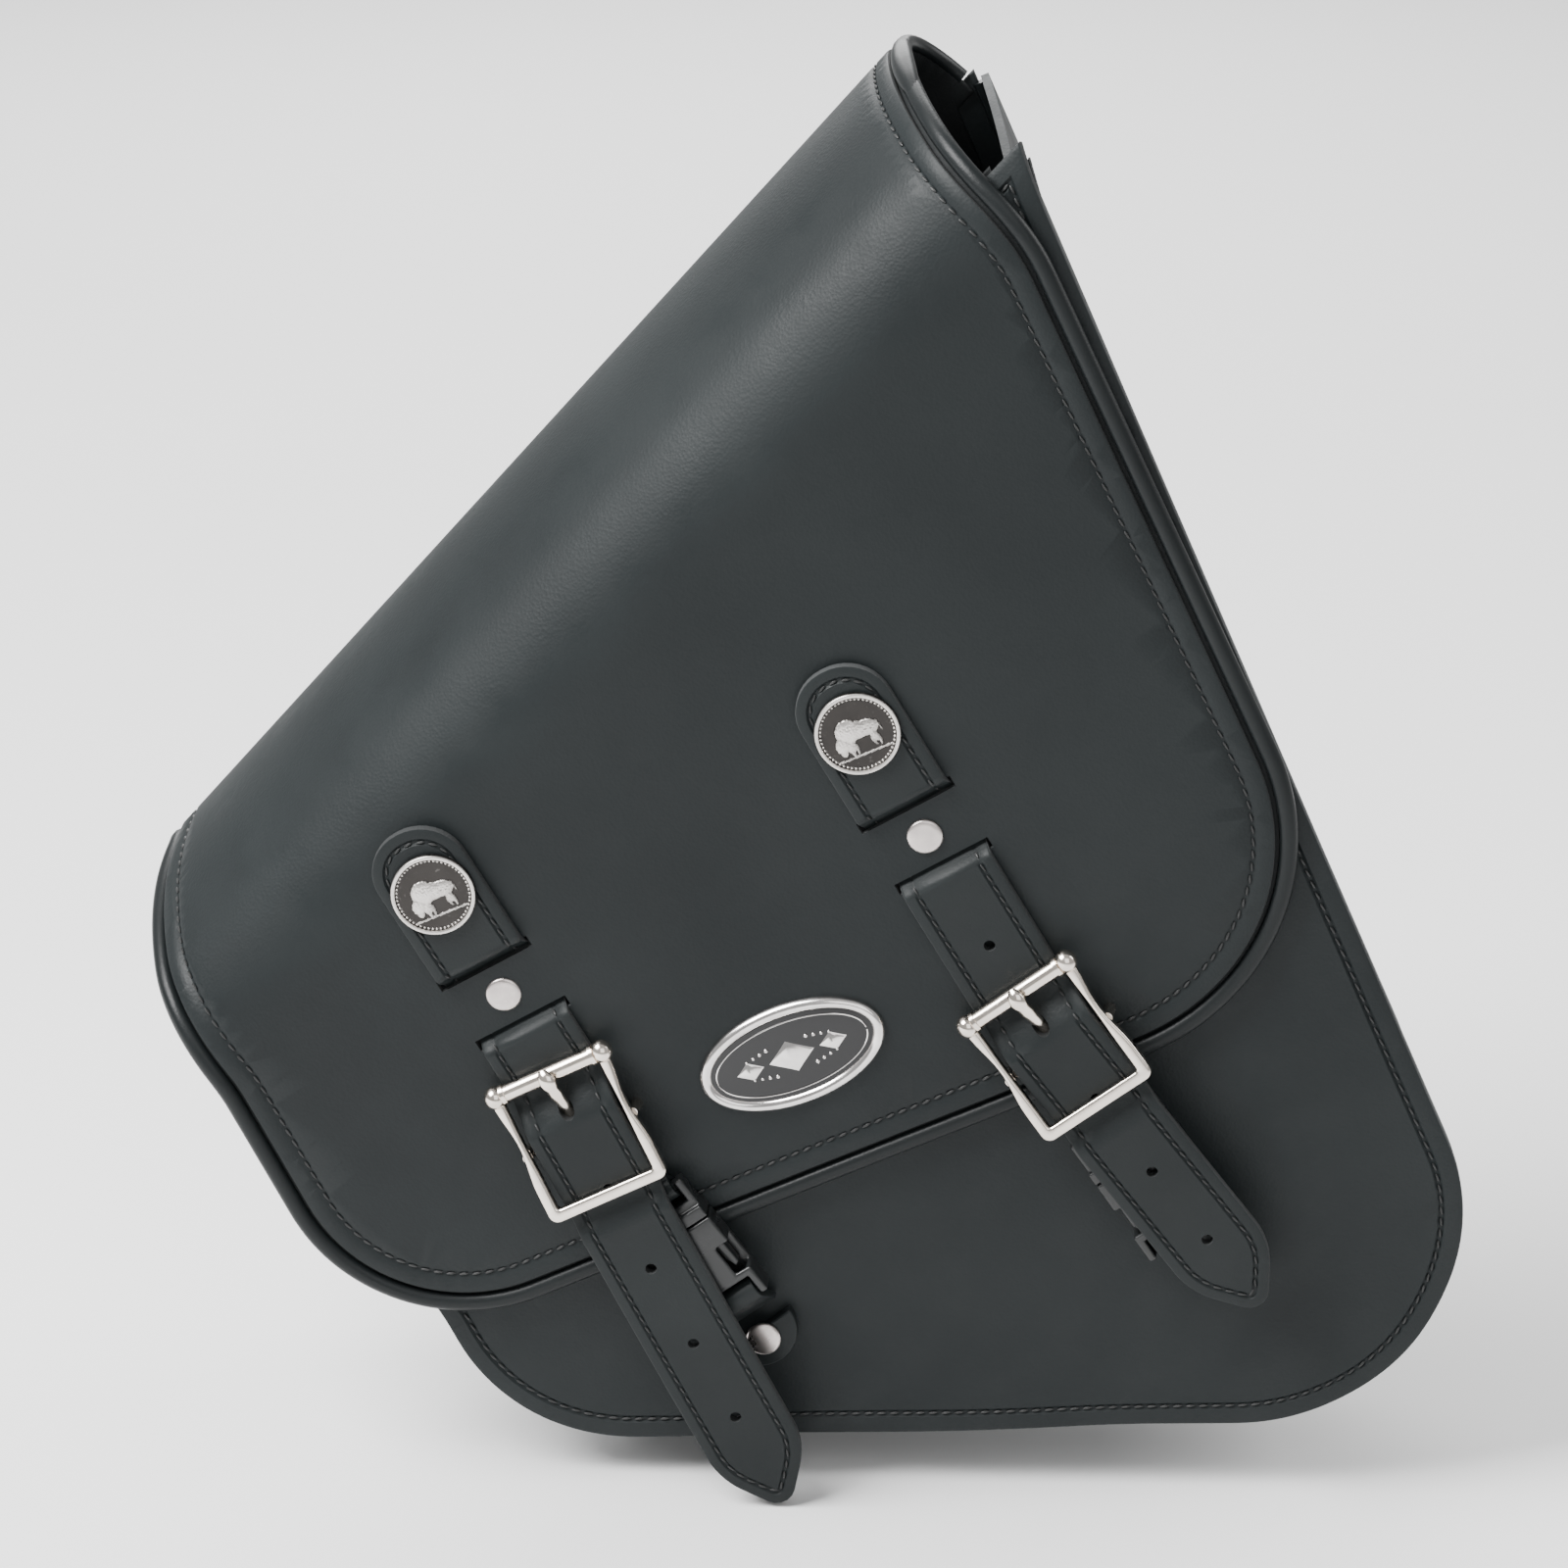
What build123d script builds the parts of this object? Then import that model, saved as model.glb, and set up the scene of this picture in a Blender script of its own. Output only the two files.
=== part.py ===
from build123d import *

import os
from dataclasses import dataclass
from math import asin, cos, degrees, radians, sin, sqrt, tan

# Leather swing-arm saddlebag: a tapered body, a flap that folds over a slanted crown, and two buckled
# straps, each with a side-release clip hidden under its tail. Millimetres, +X right, +Z up, front
# towards -Y, back face on y = 0. The origin is the centre of the four mounting eyelets.
#
# Three kinds of plane carry the sketches. The fold plane looks at the front with x along the crown and
# y up across it, both measured from the flap's centre. The section plane cuts the fold square, with x
# down across the crown and y along +Y. Strap planes have x down the strap.

# Bag body
BODY_DEPTH = 84.0
FOLD_ANGLE = 48.8
FLAP_CENTRE_Z = 40.0
PANEL_LEATHER = 3.0
GUSSET_LEATHER = 2.4
BACK_LEATHER = 2.5
SEAM_WIDTH = 6.0
GUSSET_TAPER = 4.4
BODY_DROP = 271.6
BODY_RIGHT = 161.3
BODY_LEFT = -145.4
BODY_CORNER_RADIUS = 60.0
BODY_TOE_RADIUS = 50.0
MOUTH_FRONT = -66.4
BOARD_THICKNESS = 2.0
BOARD_INSET = 8.0
STIFFENER_THICKNESS = 1.2
FACING_THICKNESS = 1.5
FACING_WIDTH = 14.0
HINGE_STRIP_WIDTH = 18.0
BACK_PIPING = 4.0
PIPING_REACH = 1.8

# Fold and flap
FOLD_START = -51.0
FOLD_RADIUS = 32.5
FOLD_TURN = 60.0
BACK_RADIUS = 16.0
TAIL_LENGTH = 2.0
BACK_GAP = 0.3
FLAP_GAP = 0.6
BASE_LEATHER = 2.0
OVERLAY_LEATHER = 2.0
FLAP_LEFT = -147.0
FLAP_RIGHT = 150.0
FLAP_DROP = 144.3
FLAP_CORNER_RADIUS = 64.0
FLAP_TOE_RADIUS = 50.0
FLAP_PIPING = 5.0
PIPING_GROOVE = 1.0
FLAP_CROWN = -96.0

# Mounting eyelets
EYELET_SPACING_X = 100.0
EYELET_SPACING_Z = 80.0
EYELET_BORE = 3.25
EYELET_BARREL = 4.25
EYELET_FLANGE = 8.0
EYELET_METAL = 0.8

# Straps
STRAP_WIDTH = 25.4
STRAP_LEATHER = 3.0
STRAP_ANGLE = 59.5
STRAP_REST = 0.3
TAB_END = 18.3
CONCHO_TO_SLIT = 25.2
SLIT_SPACING = 16.9
SLIT_LENGTH = 6.6
SLIT_SIDE_GAP = 0.9
SKIVED_LEATHER = 1.75
HOLE_RADIUS = 1.5
HOLE_PITCH = 24.2
TONGUE_HOLE = 10.2
TONGUE_SLOT = 7.5
TIP_LENGTH = 17.0

# Studs and badge
CONCHO_RADIUS = 11.0
CONCHO_THICKNESS = 1.8
SCREW_RADIUS = 2.5
SCREW_FLANGE = 5.0
SCREW_CAP = 0.4
RIVET_RADIUS = 4.65
RIVET_HEAD = 1.2
RIVET_SHANK = 2.0
HOLE_GAP = 0.1
BADGE_CENTRE = (2.1, -74.7)
BADGE_ANGLE = 24.3
BADGE_LENGTH = 51.0
BADGE_HEIGHT = 28.0
BADGE_RIM = 3.0
BADGE_THICKNESS = 2.0
BADGE_RECESS = 0.8
BADGE_POST_RADIUS = 1.25
BADGE_POST_SPACING = 30.0

# Buckle
AXLE_RADIUS = 1.35
AXLE_FIT = 0.06
ROLLER_RADIUS = 2.3
ROLLER_GAP = 0.25
BALL_RADIUS = 3.1
BUCKLE_LENGTH = 35.2
CENTRE_BAR = 18.5
CENTRE_BAR_RADIUS = 1.4
TONGUE_FIT = 0.05
TONGUE_WIDTH = 3.6
TONGUE_EYE = 2.7
RAIL_WIDTH = 3.2
RAIL_GAP = 1.1
RAIL_THICKNESS = 3.2
KEEPER_GAP = 0.4
CHAPE_WIDTH = 20.0
CHAPE_LEATHER = 1.3
CHAPE_FIT = 0.1

# Side-release clip
CLIP_WIDTH = 26.0
CLIP_THICKNESS = 7.6
CLIP_WALL = 1.7
CLIP_LIFT = 0.5
CLIP_GAP = 0.4
CLIP_START = 25.0
MALE_LENGTH = 12.0
FEMALE_LENGTH = 25.8
WEB_BAR = 2.4
WEB_SLOT = 3.6
ARM_LENGTH = 17.0
ARM_HEIGHT = 3.4
ANCHOR_WIDTH = 21.0
ANCHOR_THICKNESS = 3.6
ANCHOR_TOP = 70.0
ANCHOR_RIVET = 77.4
ANCHOR_END = 85.3
ANCHOR_GAP = 0.3

SPAN = 260.0
REACH = 200.0


@dataclass(frozen=True)
class Side:
    """One strap set: its concho, how far the roller lies past the second slit, and its angles."""

    name: str
    concho: tuple
    to_roller: float
    lower_angle: float
    tail: float
    clip_angle: float


SIDES = (
    Side("left", (-89.1, -30.7), 14.5, 63.2, 137.2, 53.0),
    Side("right", (18.6, 15.5), 38.5, 52.7, 108.2, 56.0),
)

# Sizes that follow from the ones above
FLAP_THICKNESS = BASE_LEATHER + OVERLAY_LEATHER
FLAP_INNER = BODY_DEPTH + FLAP_GAP
FLAP_FACE = FLAP_INNER + FLAP_THICKNESS
TURN = radians(FOLD_TURN)
CROWN_RADIUS = FOLD_RADIUS + (
    FLAP_INNER - FOLD_RADIUS - BACK_RADIUS - FLAP_THICKNESS - BACK_GAP
) / cos(TURN)
FRONT_CENTRE = (FOLD_START, FOLD_RADIUS - FLAP_INNER)
CROWN_CENTRE = (
    FRONT_CENTRE[0] + (CROWN_RADIUS - FOLD_RADIUS) * sin(TURN),
    FRONT_CENTRE[1] + (CROWN_RADIUS - FOLD_RADIUS) * cos(TURN),
)
BACK_CENTRE = (CROWN_CENTRE[0] - CROWN_RADIUS + BACK_RADIUS, CROWN_CENTRE[1])
HINGE = BACK_CENTRE[0] + TAIL_LENGTH
BODY_INNER = BODY_DEPTH - PANEL_LEATHER
BACK_INSET = SEAM_WIDTH + (BODY_INNER - BACK_LEATHER) * tan(radians(GUSSET_TAPER))
SLIT_WIDTH = STRAP_WIDTH + 2 * SLIT_SIDE_GAP
CENTRE_BAR_LIFT = STRAP_REST + CENTRE_BAR_RADIUS + CHAPE_FIT + CHAPE_LEATHER
CHAPE_RADIUS = CENTRE_BAR_RADIUS + CHAPE_FIT + CHAPE_LEATHER
ARCH_LIFT = CENTRE_BAR_LIFT + CHAPE_RADIUS + STRAP_REST
ROLLER_LIFT = STRAP_REST + STRAP_LEATHER + ROLLER_GAP + ROLLER_RADIUS
KEEPER_LIFT = ARCH_LIFT + STRAP_LEATHER + KEEPER_GAP + RAIL_THICKNESS / 2
CLIP_TOP = CLIP_LIFT + CLIP_THICKNESS
TAIL_LIFT = CLIP_TOP + CLIP_GAP
CLIP_MIDDLE = CLIP_LIFT + CLIP_THICKNESS / 2
FEMALE_START = CLIP_START + MALE_LENGTH + CLIP_GAP
FEMALE_END = FEMALE_START + FEMALE_LENGTH
PANEL_LIFT = BODY_DEPTH - FLAP_FACE

# The outlines, in the fold plane: x along the crown, y up across it
FLAP_OUTLINE = (
    (FLAP_RIGHT, -FLAP_CROWN + 30),
    (FLAP_RIGHT, -FOLD_START),
    (FLAP_RIGHT - 85.6, -FLAP_DROP),
    (FLAP_LEFT - 50.5, -FLAP_DROP + 114.8),
    (FLAP_LEFT + 12.0, -FLAP_CROWN + 30),
)
FLAP_RADII = (0, 60, FLAP_CORNER_RADIUS, FLAP_TOE_RADIUS, 0)
BODY_OUTLINE = (
    (BODY_RIGHT + 14.1, -MOUTH_FRONT + 30),
    (BODY_RIGHT - 158.7, -BODY_DROP),
    (BODY_LEFT - 46.7, -BODY_DROP + 198.9),
    (BODY_LEFT - 31.9, -BODY_DROP + 235.9),
    (BODY_LEFT + 9.4, -MOUTH_FRONT + 30),
)
BODY_RADII = (0, BODY_CORNER_RADIUS, BODY_TOE_RADIUS, 60, 0)


def fold_plane(front):
    """Plane facing the front at a distance before the back face, its x along the crown."""
    slope = radians(FOLD_ANGLE)
    return Plane(
        origin=(0, -front, FLAP_CENTRE_Z),
        x_dir=(cos(slope), 0, sin(slope)),
        z_dir=(0, -1, 0),
    )


def section_plane():
    """Plane square to the crown: x runs down across it and y runs back."""
    slope = radians(FOLD_ANGLE)
    return Plane(
        origin=(0, 0, FLAP_CENTRE_Z),
        x_dir=(sin(slope), 0, -cos(slope)),
        z_dir=(cos(slope), 0, sin(slope)),
    )


def strap_face(point, angle, lift=0.0):
    """Plane parallel to the flap at a lift above it: x runs down the strap, y across it."""
    fall = radians(angle)
    return Plane(
        origin=(point[0], -FLAP_FACE - lift, point[1] + FLAP_CENTRE_Z),
        x_dir=(cos(fall), 0, -sin(fall)),
        z_dir=(0, -1, 0),
    )


def strap_section(point, angle):
    """Plane along a strap and square to the flap: x runs down the strap, y stands out of the flap."""
    fall = radians(angle)
    return Plane(
        origin=(point[0], -FLAP_FACE, point[1] + FLAP_CENTRE_Z),
        x_dir=(cos(fall), 0, -sin(fall)),
        z_dir=(-sin(fall), 0, -cos(fall)),
    )


def buckle_face(side):
    """Plane of the buckle's frame, which leans out from the roller to the keeper bar."""
    fall = radians(side.lower_angle)
    rise = KEEPER_LIFT - ROLLER_LIFT
    level = sqrt(BUCKLE_LENGTH**2 - rise**2) / BUCKLE_LENGTH
    lean = rise / BUCKLE_LENGTH
    point = roller_point(side)
    return Plane(
        origin=(point[0], -FLAP_FACE - ROLLER_LIFT, point[1] + FLAP_CENTRE_Z),
        x_dir=(level * cos(fall), -lean, -level * sin(fall)),
        z_dir=(-lean * cos(fall), -level, lean * sin(fall)),
    )


def down(point, angle, distance):
    """Point at a distance from another in a direction that falls at an angle."""
    return (
        point[0] + distance * cos(radians(angle)),
        point[1] - distance * sin(radians(angle)),
    )


def roller_distance(side):
    return CONCHO_TO_SLIT + SLIT_SPACING + side.to_roller


def roller_point(side):
    return down(side.concho, STRAP_ANGLE, roller_distance(side))


def centre_bar_point(side):
    return down(roller_point(side), side.lower_angle, CENTRE_BAR)


def anchor_point(side):
    return down(centre_bar_point(side), side.clip_angle, ANCHOR_RIVET)


def rivet_point(side):
    return down(side.concho, STRAP_ANGLE, CONCHO_TO_SLIT + SLIT_SPACING / 2)


def outline(corners, radii, inset=0.0):
    """Closed shape in the fold plane with rounded corners, drawn in by an inset."""
    with BuildSketch(fold_plane(0)) as shape:
        with BuildLine():
            FilletPolyline(*corners, radius=radii, close=True)
        make_face()
        if inset:
            offset(amount=-inset, mode=Mode.REPLACE)
    return shape.sketch


def body_outline(inset=0.0):
    return outline(BODY_OUTLINE, BODY_RADII, inset)


def flap_outline(inset=0.0):
    return outline(FLAP_OUTLINE, FLAP_RADII, inset)


def on_arc(centre, radius, turn):
    """Point of the section on an arc, at a turn in degrees from the front."""
    return (
        centre[0] - radius * sin(radians(turn)),
        centre[1] - radius * cos(radians(turn)),
    )


def fold_sheet(inner, outer):
    """Section of a sheet folded over the crown, between two offsets outside the flap's inner face."""
    arcs = (
        (FRONT_CENTRE, FOLD_RADIUS, 0, FOLD_TURN),
        (CROWN_CENTRE, CROWN_RADIUS, FOLD_TURN, 90),
        (BACK_CENTRE, BACK_RADIUS, 90, 180),
    )
    with BuildSketch(section_plane()) as profile:
        with BuildLine():
            for gap in (inner, outer):
                Line((REACH, -FLAP_INNER - gap), (FOLD_START, -FLAP_INNER - gap))
                for centre, radius, start, end in arcs:
                    ThreePointArc(
                        on_arc(centre, radius + gap, start),
                        on_arc(centre, radius + gap, (start + end) / 2),
                        on_arc(centre, radius + gap, end),
                    )
                back = BACK_CENTRE[1] + BACK_RADIUS + gap
                Line((BACK_CENTRE[0], back), (HINGE, back))
            Line((REACH, -FLAP_INNER - inner), (REACH, -FLAP_INNER - outer))
            Line(
                (HINGE, BACK_CENTRE[1] + BACK_RADIUS + inner),
                (HINGE, BACK_CENTRE[1] + BACK_RADIUS + outer),
            )
        make_face()
    return profile.sketch


def body_section(depth, front_edge, back_edge):
    """Section of the body's space behind a depth inside the flap, below a mouth line."""
    bend = FOLD_RADIUS - depth
    turn = degrees(asin(max(0.0, FOLD_START - front_edge) / bend))
    lip = on_arc(FRONT_CENTRE, bend, turn)
    with BuildSketch(section_plane()) as profile:
        with BuildLine():
            Line((REACH * 2, FRONT_CENTRE[1] - bend), on_arc(FRONT_CENTRE, bend, 0))
            ThreePointArc(
                on_arc(FRONT_CENTRE, bend, 0), on_arc(FRONT_CENTRE, bend, turn / 2), lip
            )
            Polyline(
                lip, (back_edge, 0), (REACH * 2, 0), (REACH * 2, FRONT_CENTRE[1] - bend)
            )
        make_face()
    return profile.sketch


def save(piece, name):
    """Labels a finished piece and writes it to its own file."""
    piece.part.label = name
    export_step(piece.part, f"parts/{name}.step")


def panel_band(near, far):
    """Front panel's sheet between two depths behind its outer face, below the mouth."""
    with BuildPart() as band:
        extrude(body_section(FLAP_GAP + near, MOUTH_FRONT, HINGE), amount=SPAN, both=True)
        extrude(
            body_section(FLAP_GAP + far, MOUTH_FRONT - 1, HINGE - 1),
            amount=SPAN + 1,
            both=True,
            mode=Mode.SUBTRACT,
        )
    return band.part


def make_front_panel():
    with BuildPart() as front_panel:
        add(panel_band(0, PANEL_LEATHER))
        extrude(body_outline(), amount=REACH, both=True, mode=Mode.INTERSECT)
        for side in SIDES:
            with BuildSketch(strap_face(anchor_point(side), side.clip_angle)):
                Circle(RIVET_SHANK + HOLE_GAP)
            extrude(amount=-PANEL_LEATHER * 5, mode=Mode.SUBTRACT)
    save(front_panel, "front_panel")


def make_front_lining():
    """Facing along the mouth and the stiffener board, both inside the front panel."""
    with BuildPart() as mouth_facing:
        add(panel_band(PANEL_LEATHER, PANEL_LEATHER + FACING_THICKNESS))
        extrude(
            body_outline(SEAM_WIDTH + GUSSET_LEATHER * 1.5),
            amount=REACH,
            both=True,
            mode=Mode.INTERSECT,
        )
        add(across_fold(MOUTH_FRONT - 5, MOUTH_FRONT + FACING_WIDTH), mode=Mode.INTERSECT)
    save(mouth_facing, "mouth_facing")

    with BuildPart() as front_stiffener:
        extrude(body_outline(SEAM_WIDTH * 2), amount=BODY_INNER)
        extrude(
            body_outline(),
            amount=BODY_INNER - STIFFENER_THICKNESS,
            mode=Mode.SUBTRACT,
        )
        add(across_fold(FOLD_START + 2, REACH * 2), mode=Mode.INTERSECT)
        for side in SIDES:
            with BuildSketch(strap_face(anchor_point(side), side.clip_angle)):
                Circle(RIVET_RADIUS + 1)
            extrude(amount=-BODY_DEPTH, mode=Mode.SUBTRACT)
    save(front_stiffener, "front_stiffener")


def make_gusset():
    """Tapered band round the body, with its front edge turned out behind the front panel."""
    with BuildPart() as flange:
        add(panel_band(PANEL_LEATHER, PANEL_LEATHER + GUSSET_LEATHER))
        extrude(body_outline(), amount=REACH, both=True, mode=Mode.INTERSECT)
        extrude(
            body_outline(SEAM_WIDTH + GUSSET_LEATHER / 2),
            amount=REACH,
            both=True,
            mode=Mode.SUBTRACT,
        )
    seam = Location((0, -BODY_INNER, 0))
    with BuildPart() as hollow:
        extrude(
            body_outline(SEAM_WIDTH + GUSSET_LEATHER).moved(seam),
            amount=-BODY_INNER,
            taper=GUSSET_TAPER,
        )
    with BuildPart() as gusset:
        extrude(
            body_outline(SEAM_WIDTH).moved(seam),
            amount=-(BODY_INNER - BACK_LEATHER),
            taper=GUSSET_TAPER,
        )
        add(hollow.part, mode=Mode.SUBTRACT)
        extrude(
            body_section(FLAP_GAP + PANEL_LEATHER, MOUTH_FRONT, HINGE),
            amount=SPAN,
            both=True,
            mode=Mode.INTERSECT,
        )
        add(flange.part)
    save(gusset, "gusset")


def mounting_holes(radius, depth):
    """Cylinders at the four eyelets, from the back face to a depth."""
    with BuildPart() as holes:
        with BuildSketch(Plane.XZ):
            with GridLocations(EYELET_SPACING_X, EYELET_SPACING_Z, 2, 2):
                Circle(radius)
        extrude(amount=depth)
    return holes.part


def across_fold(start, end):
    """Block through the whole depth between two lines across the fold."""
    with BuildPart() as block:
        with BuildSketch(section_plane()):
            with Locations(((start + end) / 2, -BODY_DEPTH / 2)):
                Rectangle(end - start, BODY_DEPTH * 2)
        extrude(amount=SPAN, both=True)
    return block.part


def make_back():
    """Back panel, its board, piping and hinge strip, and the mounting eyelets."""
    with BuildPart() as back_panel:
        extrude(body_outline(BACK_INSET), amount=BACK_LEATHER)
        add(across_fold(HINGE, REACH * 2), mode=Mode.INTERSECT)
        add(mounting_holes(EYELET_BARREL + HOLE_GAP, BACK_LEATHER), mode=Mode.SUBTRACT)
        add(mounting_holes(EYELET_FLANGE + HOLE_GAP, EYELET_METAL), mode=Mode.SUBTRACT)
    save(back_panel, "back_panel")

    with BuildPart() as back_board:
        extrude(
            body_outline(BACK_INSET + BOARD_INSET), amount=BACK_LEATHER + BOARD_THICKNESS
        )
        extrude(body_outline(), amount=BACK_LEATHER, mode=Mode.SUBTRACT)
        add(across_fold(HINGE + HINGE_STRIP_WIDTH + 2, REACH * 2), mode=Mode.INTERSECT)
        add(
            mounting_holes(EYELET_BARREL + HOLE_GAP, BACK_LEATHER + BOARD_THICKNESS),
            mode=Mode.SUBTRACT,
        )
    save(back_board, "back_board")

    with BuildPart() as hinge_strip:
        extrude(
            body_outline(BACK_INSET + BOARD_INSET), amount=BACK_LEATHER + BOARD_THICKNESS
        )
        extrude(body_outline(), amount=BACK_LEATHER, mode=Mode.SUBTRACT)
        add(across_fold(HINGE + 1, HINGE + HINGE_STRIP_WIDTH), mode=Mode.INTERSECT)
    save(hinge_strip, "hinge_strip")

    with BuildPart() as back_piping:
        extrude(body_outline(BACK_INSET - PIPING_REACH), amount=BACK_PIPING + BACK_GAP)
        extrude(body_outline(BACK_INSET - HOLE_GAP * 2), amount=REACH, mode=Mode.SUBTRACT)
        extrude(body_outline(), amount=BACK_GAP, mode=Mode.SUBTRACT)
        add(across_fold(HINGE, REACH * 2), mode=Mode.INTERSECT)
    save(back_piping, "back_piping")

    depth = BACK_LEATHER + BOARD_THICKNESS
    with BuildPart() as mounting_eyelets:
        add(mounting_holes(EYELET_FLANGE, EYELET_METAL))
        add(mounting_holes(EYELET_BARREL, depth + EYELET_METAL))
        add(
            mounting_holes(EYELET_FLANGE, depth + EYELET_METAL)
            - mounting_holes(EYELET_FLANGE + 1, depth)
        )
        add(mounting_holes(EYELET_BORE, BODY_DEPTH), mode=Mode.SUBTRACT)
    save(mounting_eyelets, "mounting_eyelets")


def badge_plane(lift):
    slope = radians(BADGE_ANGLE)
    return Plane(
        origin=(BADGE_CENTRE[0], -FLAP_FACE - lift, BADGE_CENTRE[1] + FLAP_CENTRE_Z),
        x_dir=(cos(slope), 0, sin(slope)),
        z_dir=(0, -1, 0),
    )


def badge_posts(radius):
    """The badge's two posts, from its face plate to the flap's inner face."""
    with BuildPart() as posts:
        with BuildSketch(badge_plane(BADGE_RECESS)):
            with GridLocations(BADGE_POST_SPACING, 0, 2, 1):
                Circle(radius)
        extrude(amount=-(BADGE_RECESS + FLAP_THICKNESS))
    return posts.part


def make_flap():
    """Base layer with windows for the straps, overlay with slits, and the piping round the edge."""
    with BuildPart() as flap_base:
        extrude(fold_sheet(0, BASE_LEATHER), amount=SPAN, both=True)
        extrude(flap_outline(FLAP_PIPING), amount=REACH, both=True, mode=Mode.INTERSECT)
        for side in SIDES:
            middle = CONCHO_TO_SLIT + SLIT_SPACING / 2
            with BuildSketch(strap_face(side.concho, STRAP_ANGLE)):
                with Locations((middle, 0)):
                    Rectangle(SLIT_SPACING + 2 * SLIT_LENGTH, SLIT_WIDTH)
                Circle(SCREW_RADIUS + HOLE_GAP)
            extrude(amount=-FLAP_THICKNESS * 2, mode=Mode.SUBTRACT)
        add(badge_posts(BADGE_POST_RADIUS + HOLE_GAP), mode=Mode.SUBTRACT)
    save(flap_base, "flap_base")

    with BuildPart() as flap_outer:
        extrude(fold_sheet(BASE_LEATHER, FLAP_THICKNESS), amount=SPAN, both=True)
        extrude(
            flap_outline(FLAP_PIPING + PIPING_GROOVE),
            amount=REACH,
            both=True,
            mode=Mode.INTERSECT,
        )
        for side in SIDES:
            slits = (CONCHO_TO_SLIT - 1, CONCHO_TO_SLIT + SLIT_SPACING + 1)
            with BuildSketch(strap_face(side.concho, STRAP_ANGLE)):
                with Locations(*[(slit, 0) for slit in slits]):
                    Rectangle(SLIT_LENGTH, SLIT_WIDTH)
                with Locations((CONCHO_TO_SLIT + SLIT_SPACING / 2, 0)):
                    Circle(RIVET_SHANK + HOLE_GAP)
                Circle(SCREW_RADIUS + HOLE_GAP)
            extrude(amount=-FLAP_THICKNESS * 2, mode=Mode.SUBTRACT)
        add(badge_posts(BADGE_POST_RADIUS + HOLE_GAP), mode=Mode.SUBTRACT)
    save(flap_outer, "flap_outer")

    with BuildPart() as flap_piping:
        extrude(fold_sheet(0, FLAP_THICKNESS), amount=SPAN, both=True)
        extrude(flap_outline(), amount=REACH, both=True, mode=Mode.INTERSECT)
        extrude(flap_outline(FLAP_PIPING), amount=REACH, both=True, mode=Mode.SUBTRACT)
    save(flap_piping, "flap_piping")


def make_badge():
    """Oval badge: a rimmed plate with posts, an enamel inlay and a raised row of diamonds."""
    field = (BADGE_LENGTH / 2 - BADGE_RIM, BADGE_HEIGHT / 2 - BADGE_RIM)
    with BuildPart() as badge_plate:
        with BuildSketch(badge_plane(0)):
            Ellipse(BADGE_LENGTH / 2, BADGE_HEIGHT / 2)
        extrude(amount=BADGE_THICKNESS)
        with BuildSketch(badge_plane(BADGE_RECESS)):
            Ellipse(*field)
        extrude(amount=BADGE_THICKNESS, mode=Mode.SUBTRACT)
        add(badge_posts(BADGE_POST_RADIUS))
    save(badge_plate, "badge_plate")

    enamel = (BADGE_THICKNESS - BADGE_RECESS) / 2
    with BuildPart() as badge_inlay:
        with BuildSketch(badge_plane(BADGE_RECESS)):
            Ellipse(field[0] - HOLE_GAP, field[1] - HOLE_GAP)
        extrude(amount=enamel)
    save(badge_inlay, "badge_inlay")

    with BuildPart() as badge_emblem:
        with BuildSketch(badge_plane(BADGE_RECESS + enamel)):
            for centre, half in ((-11.5, 3.2), (0, 5.2), (11.5, 3.2)):
                with Locations((centre, 0)):
                    with BuildLine():
                        Polyline(
                            (centre - half * 1.4, 0),
                            (centre, half),
                            (centre + half * 1.4, 0),
                            (centre, -half),
                            close=True,
                        )
                    make_face()
        extrude(amount=enamel)
    save(badge_emblem, "badge_emblem")


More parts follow.
